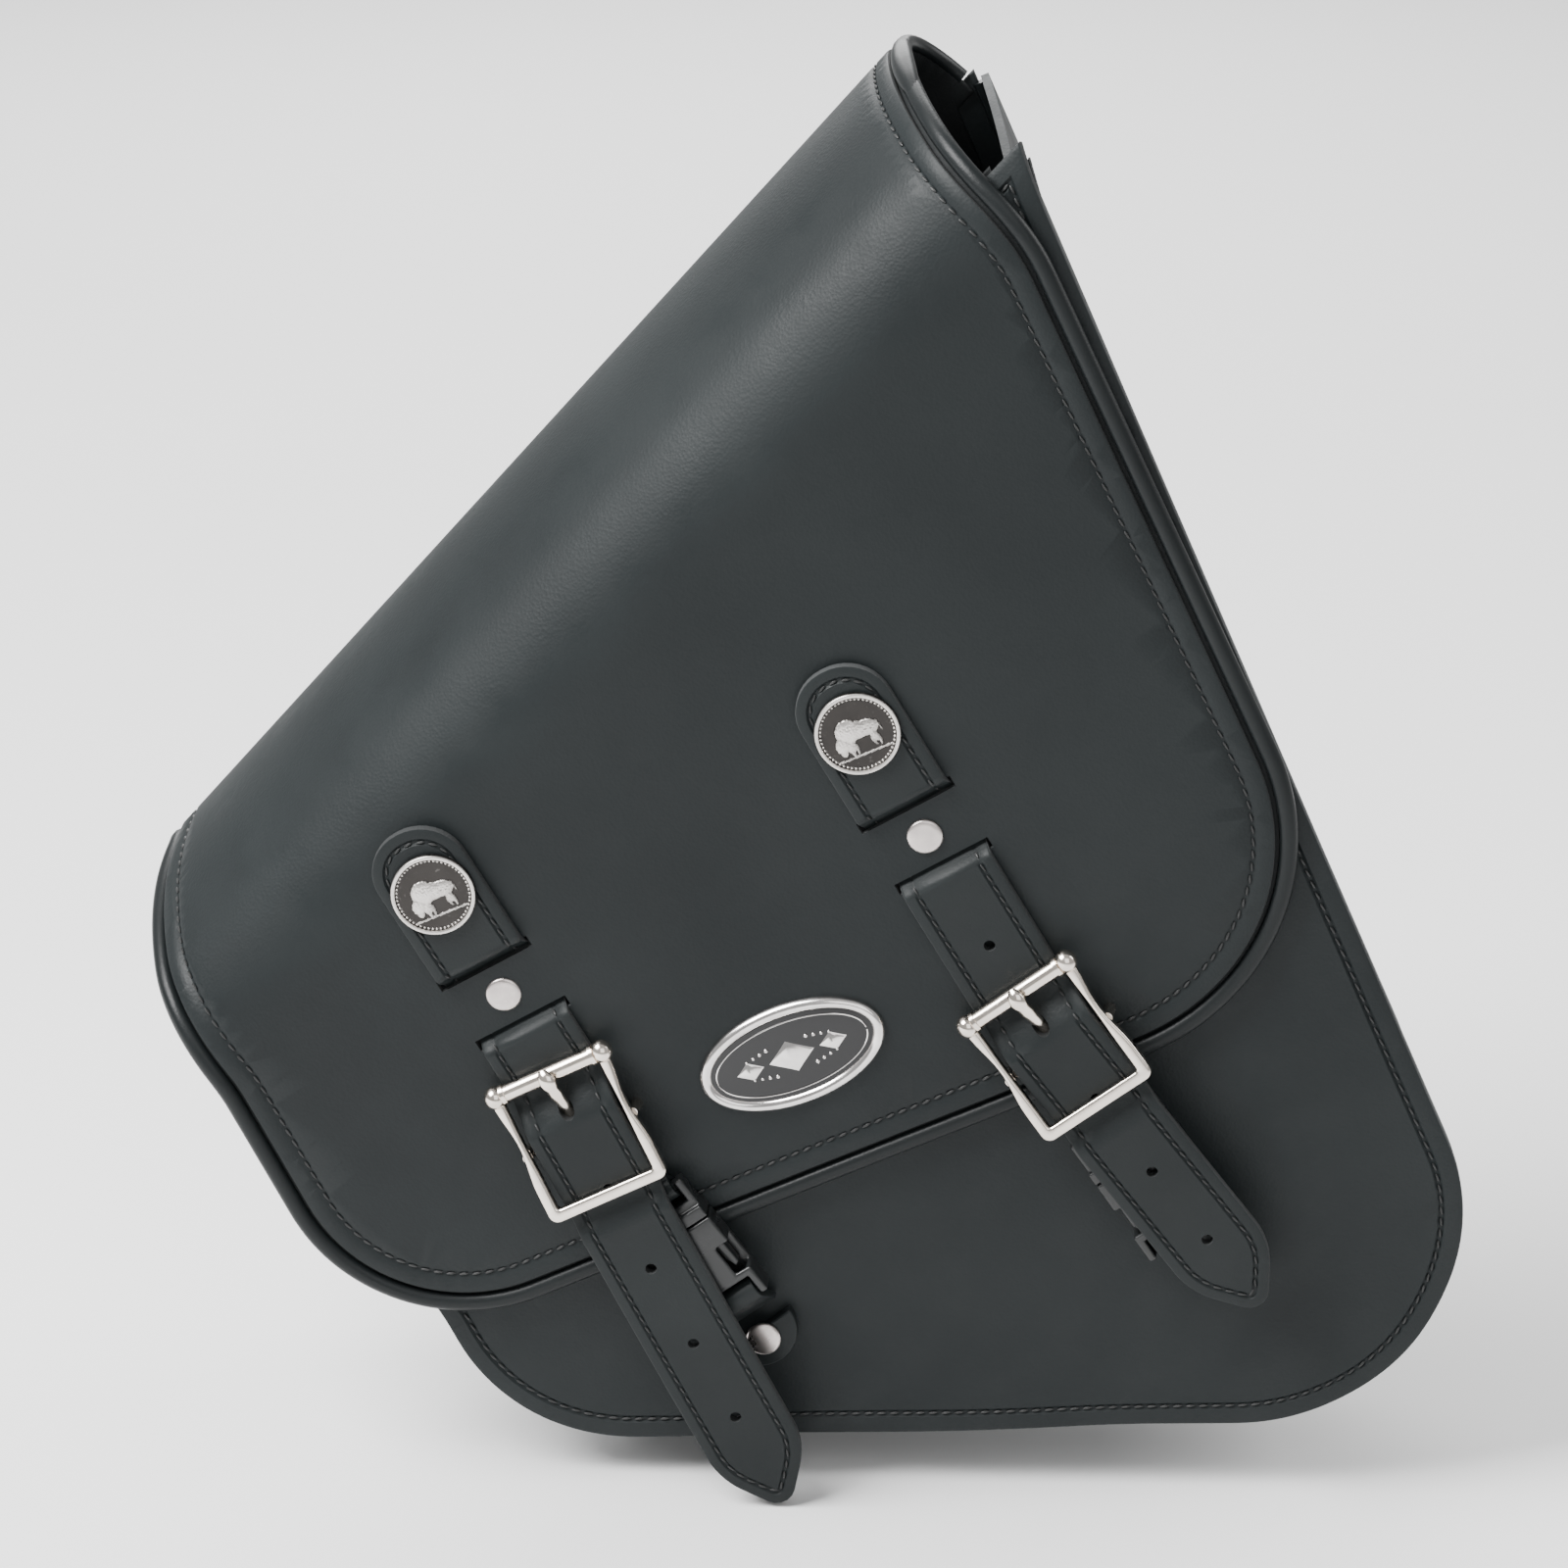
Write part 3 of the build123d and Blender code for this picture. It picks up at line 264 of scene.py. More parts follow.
class Finishes:
    """Every finish of the bag, each made once."""

    TABLE = {
        "body": Leather("body_leather", (0.0075, 0.0098, 0.0105), (0.0115, 0.0145, 0.0152)),
        "strap": Leather(
            "strap_leather", (0.008, 0.0102, 0.0108), (0.0135, 0.0165, 0.017), 0.36, 0.52, 1500.0, 0.16
        ),
        "edge": Leather(
            "raw_edge", (0.018, 0.0195, 0.020), (0.05, 0.053, 0.054), 0.7, 0.9, 2200.0, 0.5, 0.3
        ),
        "lining": Leather(
            "lining_leather", (0.006, 0.0072, 0.0075), (0.010, 0.0115, 0.012), 0.55, 0.75, 1700.0, 0.3
        ),
        "piping": Leather(
            "piping_leather", (0.006, 0.0075, 0.008), (0.009, 0.011, 0.0115), 0.3, 0.42, 1700.0, 0.12
        ),
        "thread": Moulded(
            "waxed_thread", (0.006, 0.0065, 0.0065), (0.018, 0.019, 0.019), 0.45, 0.65, 3500.0, 0.5
        ),
        "board": Moulded("board", (0.012, 0.012, 0.012), (0.02, 0.02, 0.02), 0.5, 0.7),
        "clip": Moulded(
            "clip_plastic", (0.008, 0.009, 0.0095), (0.013, 0.014, 0.0145), 0.26, 0.36, 2600.0, 0.06
        ),
        "enamel": Moulded(
            "enamel", (0.002, 0.002, 0.003), (0.004, 0.004, 0.005), 0.1, 0.16, 500.0, 0.01
        ),
        "buckle": Metal("buckle_nickel", (0.83, 0.765, 0.69), (0.74, 0.67, 0.6)),
        "rivet": Metal("rivet_nickel", (0.66, 0.61, 0.58), (0.5, 0.455, 0.44), 0.2, 0.34),
        "coin": Metal("aged_nickel", (0.66, 0.63, 0.6), (0.045, 0.042, 0.04), 0.24, 0.42, 0.12, True),
        "chrome": Metal("badge_chrome", (0.8, 0.78, 0.76), (0.68, 0.65, 0.64), 0.08, 0.18),
        "steel": Metal("eyelet_steel", (0.58, 0.57, 0.56), (0.42, 0.41, 0.4), 0.25, 0.42),
    }

    def __init__(self) -> None:
        """Make the materials."""
        self.made = {key: finish.material() for key, finish in self.TABLE.items()}

    def __getitem__(self, key: str) -> bpy.types.Material:
        """Return one material by its short name."""
        return self.made[key]


# ---------------------------------------------------------------- shapes


@dataclass(frozen=True)
class Fold:
    """The flap's inner surface: a flat front that rolls over the slanted crown to the back."""

    slope: float = math.radians(48.8)
    centre_z: float = 40.0
    inner: float = 84.6
    start: float = 51.0
    front_radius: float = 32.5
    back_radius: float = 16.0
    turn: float = math.radians(60)
    layers: float = 4.3

    @property
    def crown_radius(self) -> float:
        """Radius of the wide middle arc."""
        rest = self.inner - self.front_radius - self.back_radius - self.layers
        return self.front_radius + rest / math.cos(self.turn)

    def arcs(self) -> tuple[tuple[float, float, float, float, float], ...]:
        """Return each arc's centre (up, depth), radius, and first and last turn."""
        step = self.crown_radius - self.front_radius
        front = (self.start, self.front_radius - self.inner)
        crown = (front[0] - step * math.sin(self.turn), front[1] + step * math.cos(self.turn))
        back = (crown[0] + self.crown_radius - self.back_radius, crown[1])
        return (
            (*front, self.front_radius, 0.0, self.turn),
            (*crown, self.crown_radius, self.turn, math.pi / 2),
            (*back, self.back_radius, math.pi / 2, math.pi),
        )

    def run_to(self, arc: int) -> float:
        """Return the run from the flap's centre to the end of an arc."""
        return self.start + sum(r * (last - first) for _, _, r, first, last in self.arcs()[:arc])

    def flat(self, along: float, up: float, depth: float) -> Vector:
        """Return the place of a point in the fold's own axes, in millimetres."""
        c, s = math.cos(self.slope), math.sin(self.slope)
        return Vector((along * c - up * s, depth, along * s + up * c + self.centre_z))

    def place(self, along: float, run: float, lift: float) -> Vector:
        """Wrap a point of a flat pattern over the crown.

        Args:
            along: Distance along the crown.
            run: Distance up the sheet from the flap's centre.
            lift: Height above the flap's inner surface.

        Returns:
            The point, in millimetres.
        """
        if run <= self.start:
            return self.flat(along, run, -self.inner - lift)
        rest = run - self.start
        for up, depth, radius, first, last in self.arcs():
            length = radius * (last - first)
            if rest <= length or last == math.pi:
                turn = first + min(rest, length) / radius
                reach = radius + lift
                over = max(0.0, rest - length)
                return self.flat(
                    along, up + reach * math.sin(turn) - over, depth - reach * math.cos(turn)
                )
            rest -= length
        raise ValueError("the arcs end in a half turn")


@dataclass(frozen=True)
class Pattern:
    """Closed flat pattern: corners as (x, y, radius), with arcs at the rounded ones."""

    corners: tuple[tuple[float, float, float], ...]
    step: float = 5.0
    drawn: float = 0.0

    def offset_corners(self, inset: float) -> list[tuple[Vector, Vector, Vector, float]]:
        """Return each corner drawn in: its place, the ways in and out, and its turn."""
        points = [Vector(c[:2]) for c in self.corners]
        count = len(points)
        area = sum(points[i].cross(points[(i + 1) % count]) for i in range(count))
        side = 1.0 if area > 0 else -1.0
        ways = [(points[(i + 1) % count] - points[i]).normalized() for i in range(count)]
        made = []
        for i, point in enumerate(points):
            before, after = ways[i - 1], ways[i]
            turn = before.angle_signed(after) * -side
            half = math.tan(turn / 2)
            inward = Vector((-after.y, after.x)) * side
            made.append((point + inward * inset + after * inset * half, before, after, turn))
        return made

    def loop(self, inset: float = 0.0) -> list[Vector]:
        """Return the outline drawn in by an inset, with the same points at every inset."""
        inset += self.drawn
        full, drawn, points = self.offset_corners(0.0), self.offset_corners(inset), []
        ends = []
        for corner, (place, before, after, turn) in zip(self.corners, drawn):
            radius = max(corner[2] - inset, 0.2) if corner[2] else 0.0
            bite = abs(radius * math.tan(turn / 2))
            arc_steps = max(2, math.ceil(corner[2] * abs(turn) / self.step * 2)) if corner[2] else 0
            first, last = place - before * bite, place + after * bite
            if arc_steps:
                side = math.copysign(1.0, before.cross(after))
                centre = first + Vector((-before.y, before.x)) * side * radius
                arm = first - centre
                arc = [centre + rotated(arm, side * abs(turn) * k / arc_steps) for k in range(arc_steps + 1)]
            else:
                arc = [place]
            ends.append((arc, last))
        for i, (arc, last) in enumerate(ends):
            following = ends[(i + 1) % len(ends)][0][0]
            points += arc
            base = (full[(i + 1) % len(full)][0] - full[i][0]).length
            pieces = max(1, math.ceil(base / self.step))
            points += [last.lerp(following, k / pieces) for k in range(1, pieces)]
        return points


def rotated(arm: Vector, angle: float) -> Vector:
    """Return a flat vector turned by an angle."""
    c, s = math.cos(angle), math.sin(angle)
    return Vector((arm.x * c - arm.y * s, arm.x * s + arm.y * c))


def turns(count: int) -> list[float]:
    """Return evenly spaced angles round a full turn."""
    return [math.tau * k / count for k in range(count)]


def ring(bm: bmesh.types.BMesh, points: Iterable[Vector], lift: float, closed: bool = True) -> list:
    """Add a loop of edges at a lift and return its edges."""
    verts = [bm.verts.new((p.x, p.y, lift)) for p in points]
    pairs = zip(verts, verts[1:] + (verts[:1] if closed else []))
    return [bm.edges.new(pair) for pair in pairs]


def grown(
    bm: bmesh.types.BMesh, verts: Sequence[bmesh.types.BMVert], points: Sequence[Vector], lift: float
) -> list:
    """Extrude a closed loop of vertices to new places and return the new loop, in the same order."""
    edges = [bm.edges.get(pair) for pair in zip(verts, [*verts[1:], verts[0]])]
    made = bmesh.ops.extrude_edge_only(bm, edges=edges)
    fresh = {item for item in made["geom"] if isinstance(item, bmesh.types.BMVert)}
    following = [
        next(e.other_vert(v) for e in v.link_edges if e.other_vert(v) in fresh) for v in verts
    ]
    for vert, point in zip(following, points):
        vert.co = (point.x, point.y, lift)
    return following


def resampled(points: Sequence[Vector], pitch: float, closed: bool = False) -> list[Vector]:
    """Return points at an even pitch along a path."""
    path = list(points) + ([points[0]] if closed else [])
    lengths = [(b - a).length for a, b in zip(path, path[1:])]
    total = sum(lengths)
    count = max(2, round(total / pitch))
    made, reached, index = [], 0.0, 0
    for k in range(count if closed else count + 1):
        target = min(total * k / count, total - 1e-6)
        while reached + lengths[index] < target:
            reached += lengths[index]
            index += 1
        made.append(path[index].lerp(path[index + 1], (target - reached) / lengths[index]))
    return made


@dataclass(frozen=True)
class Sheet:
    """A cut piece of leather with rounded edges, a pressed stitch channel, and holes."""

    pattern: Pattern
    thickness: float
    edge: float = 0.6
    channel: float = 0.0
    channel_depth: float = 0.4
    channel_width: float = 0.8
    holes: tuple[tuple[Vector, ...], ...] = ()

    def profile(self) -> list[tuple[float, float]]:
        """Return the rim's section as (inset, lift) pairs, from the underside to the top."""
        t, e = self.thickness, self.edge
        made = [(e, 0.0), (e * 0.3, e * 0.3), (0.0, e), (0.0, t - e), (e * 0.3, t - e * 0.3), (e, t)]
        if self.channel:
            c, w, low = self.channel, self.channel_width, t - self.channel_depth
            made += [(c - w, t), (c - w / 3, low), (c + w / 3, low), (c + w, t)]
        return made

    def build(self) -> bmesh.types.BMesh:
        """Return the flat sheet, its rim walls marked with the second material."""
        bm = bmesh.new()
        (inset, lift), *rest = self.profile()
        floor = ring(bm, self.pattern.loop(inset), lift)
        verts = list(bm.verts)
        for inset, lift in rest:
            verts = grown(bm, verts, self.pattern.loop(inset), lift)
        roof = [bm.edges.get(pair) for pair in zip(verts, verts[1:] + verts[:1])]
        for hole in self.holes:
            low = ring(bm, hole, 0.0)
            high = ring(bm, hole, self.thickness)
            bmesh.ops.bridge_loops(bm, edges=low + high)
            floor += low
            roof += high
        for edges in (floor, roof):
            bmesh.ops.triangle_fill(bm, use_beauty=True, edges=edges, normal=(0, 0, 1))
        bmesh.ops.recalc_face_normals(bm, faces=bm.faces)
        for face in bm.faces:
            steep, height = abs(face.normal.z) < 0.75, face.calc_center_median().z
            face.material_index = int(steep and height < self.thickness * 0.96)
        return bm


def cut_across(bm: bmesh.types.BMesh, axis: int, places: Iterable[float]) -> None:
    """Cut every face along lines square to an axis, so that the sheet can bend there."""
    normal = Vector((axis == 0, axis == 1, axis == 2))
    for place in places:
        bmesh.ops.bisect_plane(
            bm, geom=bm.verts[:] + bm.edges[:] + bm.faces[:], plane_co=normal * place, plane_no=normal
        )


def steps(first: float, last: float, size: float) -> list[float]:
    """Return evenly spaced places between two ends, both left out."""
    count = max(1, math.ceil((last - first) / size))
    return [first + (last - first) * k / count for k in range(1, count)]


def shape(bm: bmesh.types.BMesh, place: Place) -> None:
    """Move every vertex of a flat piece to its place on the object."""
    for vert in bm.verts:
        vert.co = place(*vert.co)


def publish(
    bm: bmesh.types.BMesh,
    name: str,
    body: str,
    slot: Slot,
    materials: Sequence[bpy.types.Material],
    replaces: Sequence[str] = (),
) -> bpy.types.Object:
    """Turn a bmesh into a piece that rides on a body.

    Args:
        bm: The finished shape, freed here.
        name: Name of the piece.
        body: Body that it rides on.
        slot: The record's material slot; not used.
        materials: Materials in the order of the faces' indices.
        replaces: CAD nodes that the piece stands for.

    Returns:
        The new object.
    """
    bmesh.ops.scale(bm, vec=(MM,) * 3, verts=bm.verts)
    bmesh.ops.recalc_face_normals(bm, faces=bm.faces)
    for face in bm.faces:
        face.smooth = True
    for edge in bm.edges:
        edge.smooth = not edge.is_manifold or edge.calc_face_angle(0.0) < SMOOTH_ANGLE
    mesh = bpy.data.meshes.new(name)
    bm.to_mesh(mesh)
    bm.free()
    piece = bpy.data.objects.new(name, mesh)
    bpy.context.scene.collection.objects.link(piece)
    for material in materials:
        mesh.materials.append(material)
    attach(piece, body)
    if replaces:
        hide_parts(*replaces)
    LOG.info("%s: %d faces on %s", name, len(mesh.polygons), body)
    return piece


def frame_at(place: Place, here: Vector, ahead: Vector, lift: float) -> Matrix:
    """Return a frame on a placed sheet: x ahead, y across, z outward."""
    origin = place(here.x, here.y, lift)
    x = (place(ahead.x, ahead.y, lift) - origin).normalized()
    z = (place(here.x, here.y, lift + 0.5) - origin).normalized()
    y = z.cross(x).normalized()
    z = x.cross(y)
    return Matrix.Translation(origin) @ Matrix((x, y, z)).transposed().to_4x4()


@dataclass(frozen=True)
class Stitching:
    """A row of lockstitches, each a low rounded bead of thread that tilts a little."""

    pitch: float = 3.4
    length: float = 2.5
    width: float = 0.8
    height: float = 0.8
    tilt: float = math.radians(9)

    def add(
        self, bm: bmesh.types.BMesh, path: Sequence[Vector], place: Place, lift: float, closed: bool
    ) -> None:
        """Add a row of stitches along a path on a placed sheet."""
        points = resampled(path, self.pitch, closed)
        pairs = zip(points, points[1:] + (points[:1] if closed else []))
        size = Matrix.Diagonal((self.length / 2, self.width / 2, self.height / 2, 1))
        turn = Matrix.Rotation(self.tilt, 4, "Z")
        for here, ahead in pairs:
            middle = here.lerp(ahead, 0.5)
            frame = frame_at(place, middle, middle + (ahead - here) * 0.3, lift)
            bead = frame @ turn @ size @ Matrix.Rotation(math.pi / 2, 4, "Y")
            bmesh.ops.create_uvsphere(bm, u_segments=6, v_segments=5, radius=1, matrix=bead)


def tube(
    bm: bmesh.types.BMesh, frames: Sequence[Matrix], radii: Sequence[tuple[float, float]], sides: int = 14
) -> None:
    """Sweep an oval section through frames whose x looks along the tube, and close its ends."""
    loops = []
    for frame, (wide, high) in zip(frames, radii):
        verts = [
            bm.verts.new(frame @ Vector((0, wide * math.cos(a), high * math.sin(a))))
            for a in turns(sides)
        ]
        loops.append([bm.edges.new(pair) for pair in zip(verts, verts[1:] + verts[:1])])
    for first, second in zip(loops, loops[1:]):
        bmesh.ops.bridge_loops(bm, edges=first + second)
    for end in (loops[0], loops[-1]):
        bmesh.ops.contextual_create(bm, geom=end)


def turned(
    bm: bmesh.types.BMesh, profile: Sequence[tuple[float, float]], frame: Matrix, sides: int = 48
) -> None:
    """Spin a (radius, height) profile about a frame's z axis."""
    before = set(bm.verts)
    verts = [bm.verts.new((radius, 0, height)) for radius, height in profile]
    edges = [bm.edges.new(pair) for pair in zip(verts, verts[1:])]
    bmesh.ops.spin(
        bm, geom=verts + edges, cent=(0, 0, 0), axis=(0, 0, 1), angle=math.tau, steps=sides, use_merge=True
    )
    made = [v for v in bm.verts if v not in before]
    bmesh.ops.remove_doubles(bm, verts=made, dist=1e-3)
    made = [v for v in bm.verts if v not in before]
    bmesh.ops.transform(bm, matrix=frame, verts=made)


def rod(
    bm: bmesh.types.BMesh, frame: Matrix, radii: tuple[float, float], length: float, sides: int = 20
) -> None:
    """Add a round rod, or a tapered one, centred on a frame."""
    bmesh.ops.create_cone(
        bm, cap_ends=True, segments=sides, radius1=radii[0], radius2=radii[1], depth=length, matrix=frame
    )


def softened(
    node: str, radius: float, body: str, slot: Slot, material: bpy.types.Material
) -> bpy.types.Object:
    """Stand in for a CAD node with the same shape and eased edges.

    Args:
        node: The CAD node.
        radius: Radius of the eased edges, in millimetres.
        body: Body that it rides on.
        slot: The record's material slot.
        material: Its finish.

    Returns:
        The new object.
    """
    bm = bmesh.new()
    bm.from_mesh(bpy.data.objects[node].data)
    bmesh.ops.scale(bm, vec=(1 / MM,) * 3, verts=bm.verts)
    bmesh.ops.remove_doubles(bm, verts=bm.verts, dist=0.005)
    if radius:
        bmesh.ops.dissolve_limit(bm, angle_limit=math.radians(1), verts=bm.verts, edges=bm.edges)
        sharp = [e for e in bm.edges if e.is_manifold and e.calc_face_angle(0.0) > math.radians(40)]
        bmesh.ops.bevel(
            bm, geom=sharp, offset=radius, offset_type="OFFSET", segments=3, profile=0.5, affect="EDGES",
            clamp_overlap=True, material=-1,
        )
    return publish(bm, f"{node}_soft", body, slot, [material], [node])


# ---------------------------------------------------------------- the bag


@dataclass
class Flap:
    """The folded flap: overlay, base with its rolled edge, stitching, and end binding."""

    finishes: Finishes
    fold: Fold
    right: float = 150.0
    drop: float = 144.3
    base_layer: float = 2.0
    overlay_layer: float = 2.0
    piping: float = 5.0
    groove: float = 1.0
    stitch_inset: float = 5.5
    stitch_sink: float = 0.3
    channel: tuple[float, float] = (0.55, 1.1)
    past_hinge: float = 2.0
    flat_pitch: float = 9.0
    bend_pitch: float = 2.2
    along_pitch: float = 11.0
    wave: float = 0.7
    wave_length: float = 55.0
    calm_run: float = 60.0

    def pattern(self) -> Pattern:
        """Return the flap's outline, flat."""
        crown = self.fold.run_to(2)
        hinge = self.fold.run_to(3) + self.past_hinge + self.piping + self.groove
        return Pattern(
            (
                (self.right, hinge, 2.0),
                (self.right, self.fold.start, 60.0),
                (self.right - 85.6, -self.drop, 64.0),
                (-197.5, -29.5, 50.0),
                (-165.1, self.fold.start, 60.0),
                (-147.1, crown, 30.0),
                (-155.9, hinge, 2.0),
            )
        )

    def ease(self, along: float, run: float) -> float:
        """Return the leather's faint waviness at a place on the flap."""
        calm = min(1.0, max(0.0, (self.calm_run - run) / self.calm_run))
        return self.wave * calm * noise.noise(Vector((along, run, 0.0)) / self.wave_length)

    def on_face(self, along: float, run: float, lift: float) -> Vector:
        """Place a point of the flap, with its waviness."""
        return self.fold.place(along, run, lift + self.ease(along, run))

    def bend_cuts(self, bm: bmesh.types.BMesh) -> None:
        """Cut the sheet where it bends and, more widely, where it is flat."""
        start, end = self.fold.start, self.fold.run_to(3) + self.past_hinge + 3.0
        flat = steps(-self.drop - 10, start, self.flat_pitch)
        cut_across(bm, 1, flat + [start] + steps(start, end, self.bend_pitch))
        cut_across(bm, 0, steps(-200.0, self.right, self.along_pitch))

    def slits(self, straps: Sequence["StrapSet"]) -> tuple[tuple[Vector, ...], ...]:
        """Return the outlines of the straps' slits on the flap."""
        return tuple(strap.slit_outline(low, high) for strap in straps for low, high in strap.slit_spans())

    def build(self, straps: Sequence["StrapSet"]) -> None:
        """Make the flap's pieces."""
        edge = self.piping + self.groove
        outline = self.pattern()
        top = self.base_layer + self.overlay_layer
        overlay = Sheet(
            replace(outline, drawn=edge), self.overlay_layer, 0.55, self.stitch_inset, *self.channel,
            self.slits(straps),
        )
        bm = overlay.build()
        self.bend_cuts(bm)
        shape(bm, lambda x, y, z: self.on_face(x, y, z + self.base_layer))
        skins = [self.finishes["body"], self.finishes["edge"]]
        publish(bm, "flap_overlay", Body.FLAP, Slot.BODY, skins, ["flap_outer"])

        bm = Sheet(replace(outline, drawn=self.piping / 2), self.base_layer, 0.5).build()
        self.bend_cuts(bm)
        shape(bm, lambda x, y, z: self.on_face(x, y, z * 0.98))
        skins = [self.finishes["lining"]] * 2
        publish(bm, "flap_base_layer", Body.FLAP, Slot.LINING, skins, ["flap_base"])

        self.build_piping(outline, top)
        bm = bmesh.new()
        path = self.open_path(outline, self.stitch_inset + edge)
        Stitching().add(bm, path, self.on_face, top - self.stitch_sink, closed=False)
        publish(bm, "flap_stitching", Body.FLAP, Slot.BODY, [self.finishes["thread"]])

    def open_path(self, outline: Pattern, inset: float) -> list[Vector]:
        """Return the outline from one end of the hinge line, round the flap, to the other."""
        points = outline.loop(inset)
        hinge = max(p.y for p in points)
        path = [p for p in points if p.y < hinge - 2.0]
        first = max(range(len(path)), key=lambda k: (path[k] - path[k - 1]).length)
        return path[first:] + path[:first]

    def build_piping(self, outline: Pattern, top: float) -> None:
        """Make the rolled edge and the thicker binding over the crown at the right end."""
        radius = self.piping / 2
        path = resampled(self.open_path(outline, radius), 2.5)
        bm = bmesh.new()
        frames = [frame_at(self.on_face, a, b, top / 2) for a, b in zip(path, path[1:])]
        tube(bm, frames, [(radius - 0.05, top / 2 + 0.15)] * len(frames))
        skins = [self.finishes["piping"]]
        publish(bm, "flap_edge_piping", Body.FLAP, Slot.PIPING, skins, ["flap_piping"])

        crown = self.fold.run_to(2)
        span = [p for p in path if p.x > 0 and crown - 38 < p.y < crown + 6]
        bm = bmesh.new()
        frames = [frame_at(self.on_face, a, b, top / 2 + 0.6) for a, b in zip(span, span[1:])]
        count = len(frames) - 1
        swell = [max(0.15, math.sin(math.pi * k / count)) ** 0.3 for k in range(count + 1)]
        tube(bm, frames, [((radius + 0.7) * s, (top / 2 + 0.6) * s) for s in swell])
        publish(bm, "flap_piping_end", Body.FLAP, Slot.PIPING, skins)


@dataclass
class Shell:
    """The bag's body: front panel, gusset, back panel and its piping, with their stitching."""

    finishes: Finishes
    fold: Fold
    right: float = 161.3
    left: float = -145.4
    drop: float = 271.6
    mouth: float = 67.4
    gap: float = 0.6
    leather: float = 3.0
    gusset_leather: float = 2.4
    seam: float = 6.0
    back_inset: float = 12.04
    hinge: float = 74.02
    eyelet: float = 8.1
    eyelet_spots: tuple[tuple[float, float], ...] = (
        (-50.0, -40.0), (-50.0, 40.0), (50.0, -40.0), (50.0, 40.0),
    )
    back_leather: float = 2.5
    back_stitch: float = 5.0
    bend_pitch: float = 2.0
    flat_pitch: float = 9.0
    along_pitch: float = 11.0

    def pattern(self, top: float) -> Pattern:
        """Return the body's outline up to a top line."""
        rise = top - self.mouth
        return Pattern(
            (
                (self.right + 0.47 * rise, top, 0.0),
                (self.right - 158.7, -self.drop, 60.0),
                (self.left - 46.7, -self.drop + 198.9, 50.0),
                (self.left - 31.9, -self.drop + 235.9, 60.0),
                (self.left + 0.313 * rise, top, 0.0),
            )
        )

    def front(self, along: float, run: float, lift: float) -> Vector:
        """Place a point of the front panel: soft, with a faint wave along its lower edge."""
        low = min(1.0, max(0.0, (-40.0 - run) / 160.0))
        wave = 1.1 * low * noise.noise(Vector((along, run, 40.0)) / 34.0)
        swell = 0.8 * low * noise.noise(Vector((along, run, 9.0)) / 60.0)
        return self.fold.place(along + wave * 0.4, run + wave, lift + min(swell, 0.35))

    def open_path(self, pattern: Pattern, inset: float, count: int) -> list[Vector]:
        """Return the outline without its top line, as an even number of points."""
        points = pattern.loop(inset)
        top = max(p.y for p in points) - 0.01
        path = [p for p in points if p.y < top]
        first = max(range(len(path)), key=lambda k: (path[k] - path[k - 1]).length)
        path = path[first:] + path[:first]
        length = sum((b - a).length for a, b in zip(path, path[1:]))
        return resampled(path, length / count)

    def build(self) -> None:
        """Make the shell's pieces."""
        outline = self.pattern(self.mouth)
        bm = Sheet(outline, self.leather, 0.7, self.seam - 0.4, 0.6, 1.1).build()
        flat = steps(-self.drop - 10, self.fold.start, self.flat_pitch)
        cut_across(bm, 1, flat + steps(self.fold.start, self.mouth, self.bend_pitch))
        cut_across(bm, 0, steps(-200.0, self.right + 20, self.along_pitch))
        shape(bm, lambda x, y, z: self.front(x, y, z - self.leather - self.gap))
        skins = [self.finishes["body"], self.finishes["edge"]]
        publish(bm, "front_shell", Body.BAG, Slot.BODY, skins, ["front_panel"])

        bm = bmesh.new()
        Stitching().add(bm, outline.loop(self.seam - 0.4), self.front, -self.gap - 0.3, closed=True)
        publish(bm, "front_seam_stitching", Body.BAG, Slot.BODY, [self.finishes["thread"]])
        self.build_gusset()
        self.build_back()

    def build_gusset(self) -> None:
        """Make the side band, its turned-out flange, and the seam's far side."""
        count = 200
        rows = ((0.25, 0.0), (3.0, 0.0), (5.2, 0.0), (6.6, 0.03), (7.1, 0.09))
        under = -self.leather - self.gap - self.gusset_leather / 2 - 0.05
        front, back = self.pattern(self.mouth), self.pattern(self.hinge + self.back_inset)
        far = self.open_path(back, self.back_inset - 1.4, count)
        bm = bmesh.new()
        chain: list = []
        for inset, share in rows + tuple((7.2, k / 9) for k in range(1, 10)):
            near = self.open_path(front, inset, count)
            verts = []
            for here, there in zip(near, far):
                start = self.front(here.x, here.y, under)
                end = self.fold.flat(there.x, there.y, -1.6)
                puff = 1.0 - 2.2 * math.sin(math.pi * share)
                middle = self.fold.flat(0.0, -60.0, start.y)
                outward = (start - middle).normalized() * puff * min(1.0, share * 6)
                verts.append(bm.verts.new(start.lerp(end, share) + outward * -0.8))
            edges = [bm.edges.new(pair) for pair in zip(verts, verts[1:])]
            if chain:
                bmesh.ops.bridge_loops(bm, edges=chain + edges)
            chain = edges
        bmesh.ops.recalc_face_normals(bm, faces=bm.faces)
        bmesh.ops.solidify(bm, geom=bm.faces[:], thickness=self.gusset_leather * 0.9)
        publish(bm, "gusset_band", Body.BAG, Slot.BODY, [self.finishes["body"]], ["gusset"])

    def on_back(self, along: float, up: float, lift: float) -> Vector:
        """Place a point of the back panel, whose outer face looks back."""
        return self.fold.flat(along, up, lift - self.back_leather)

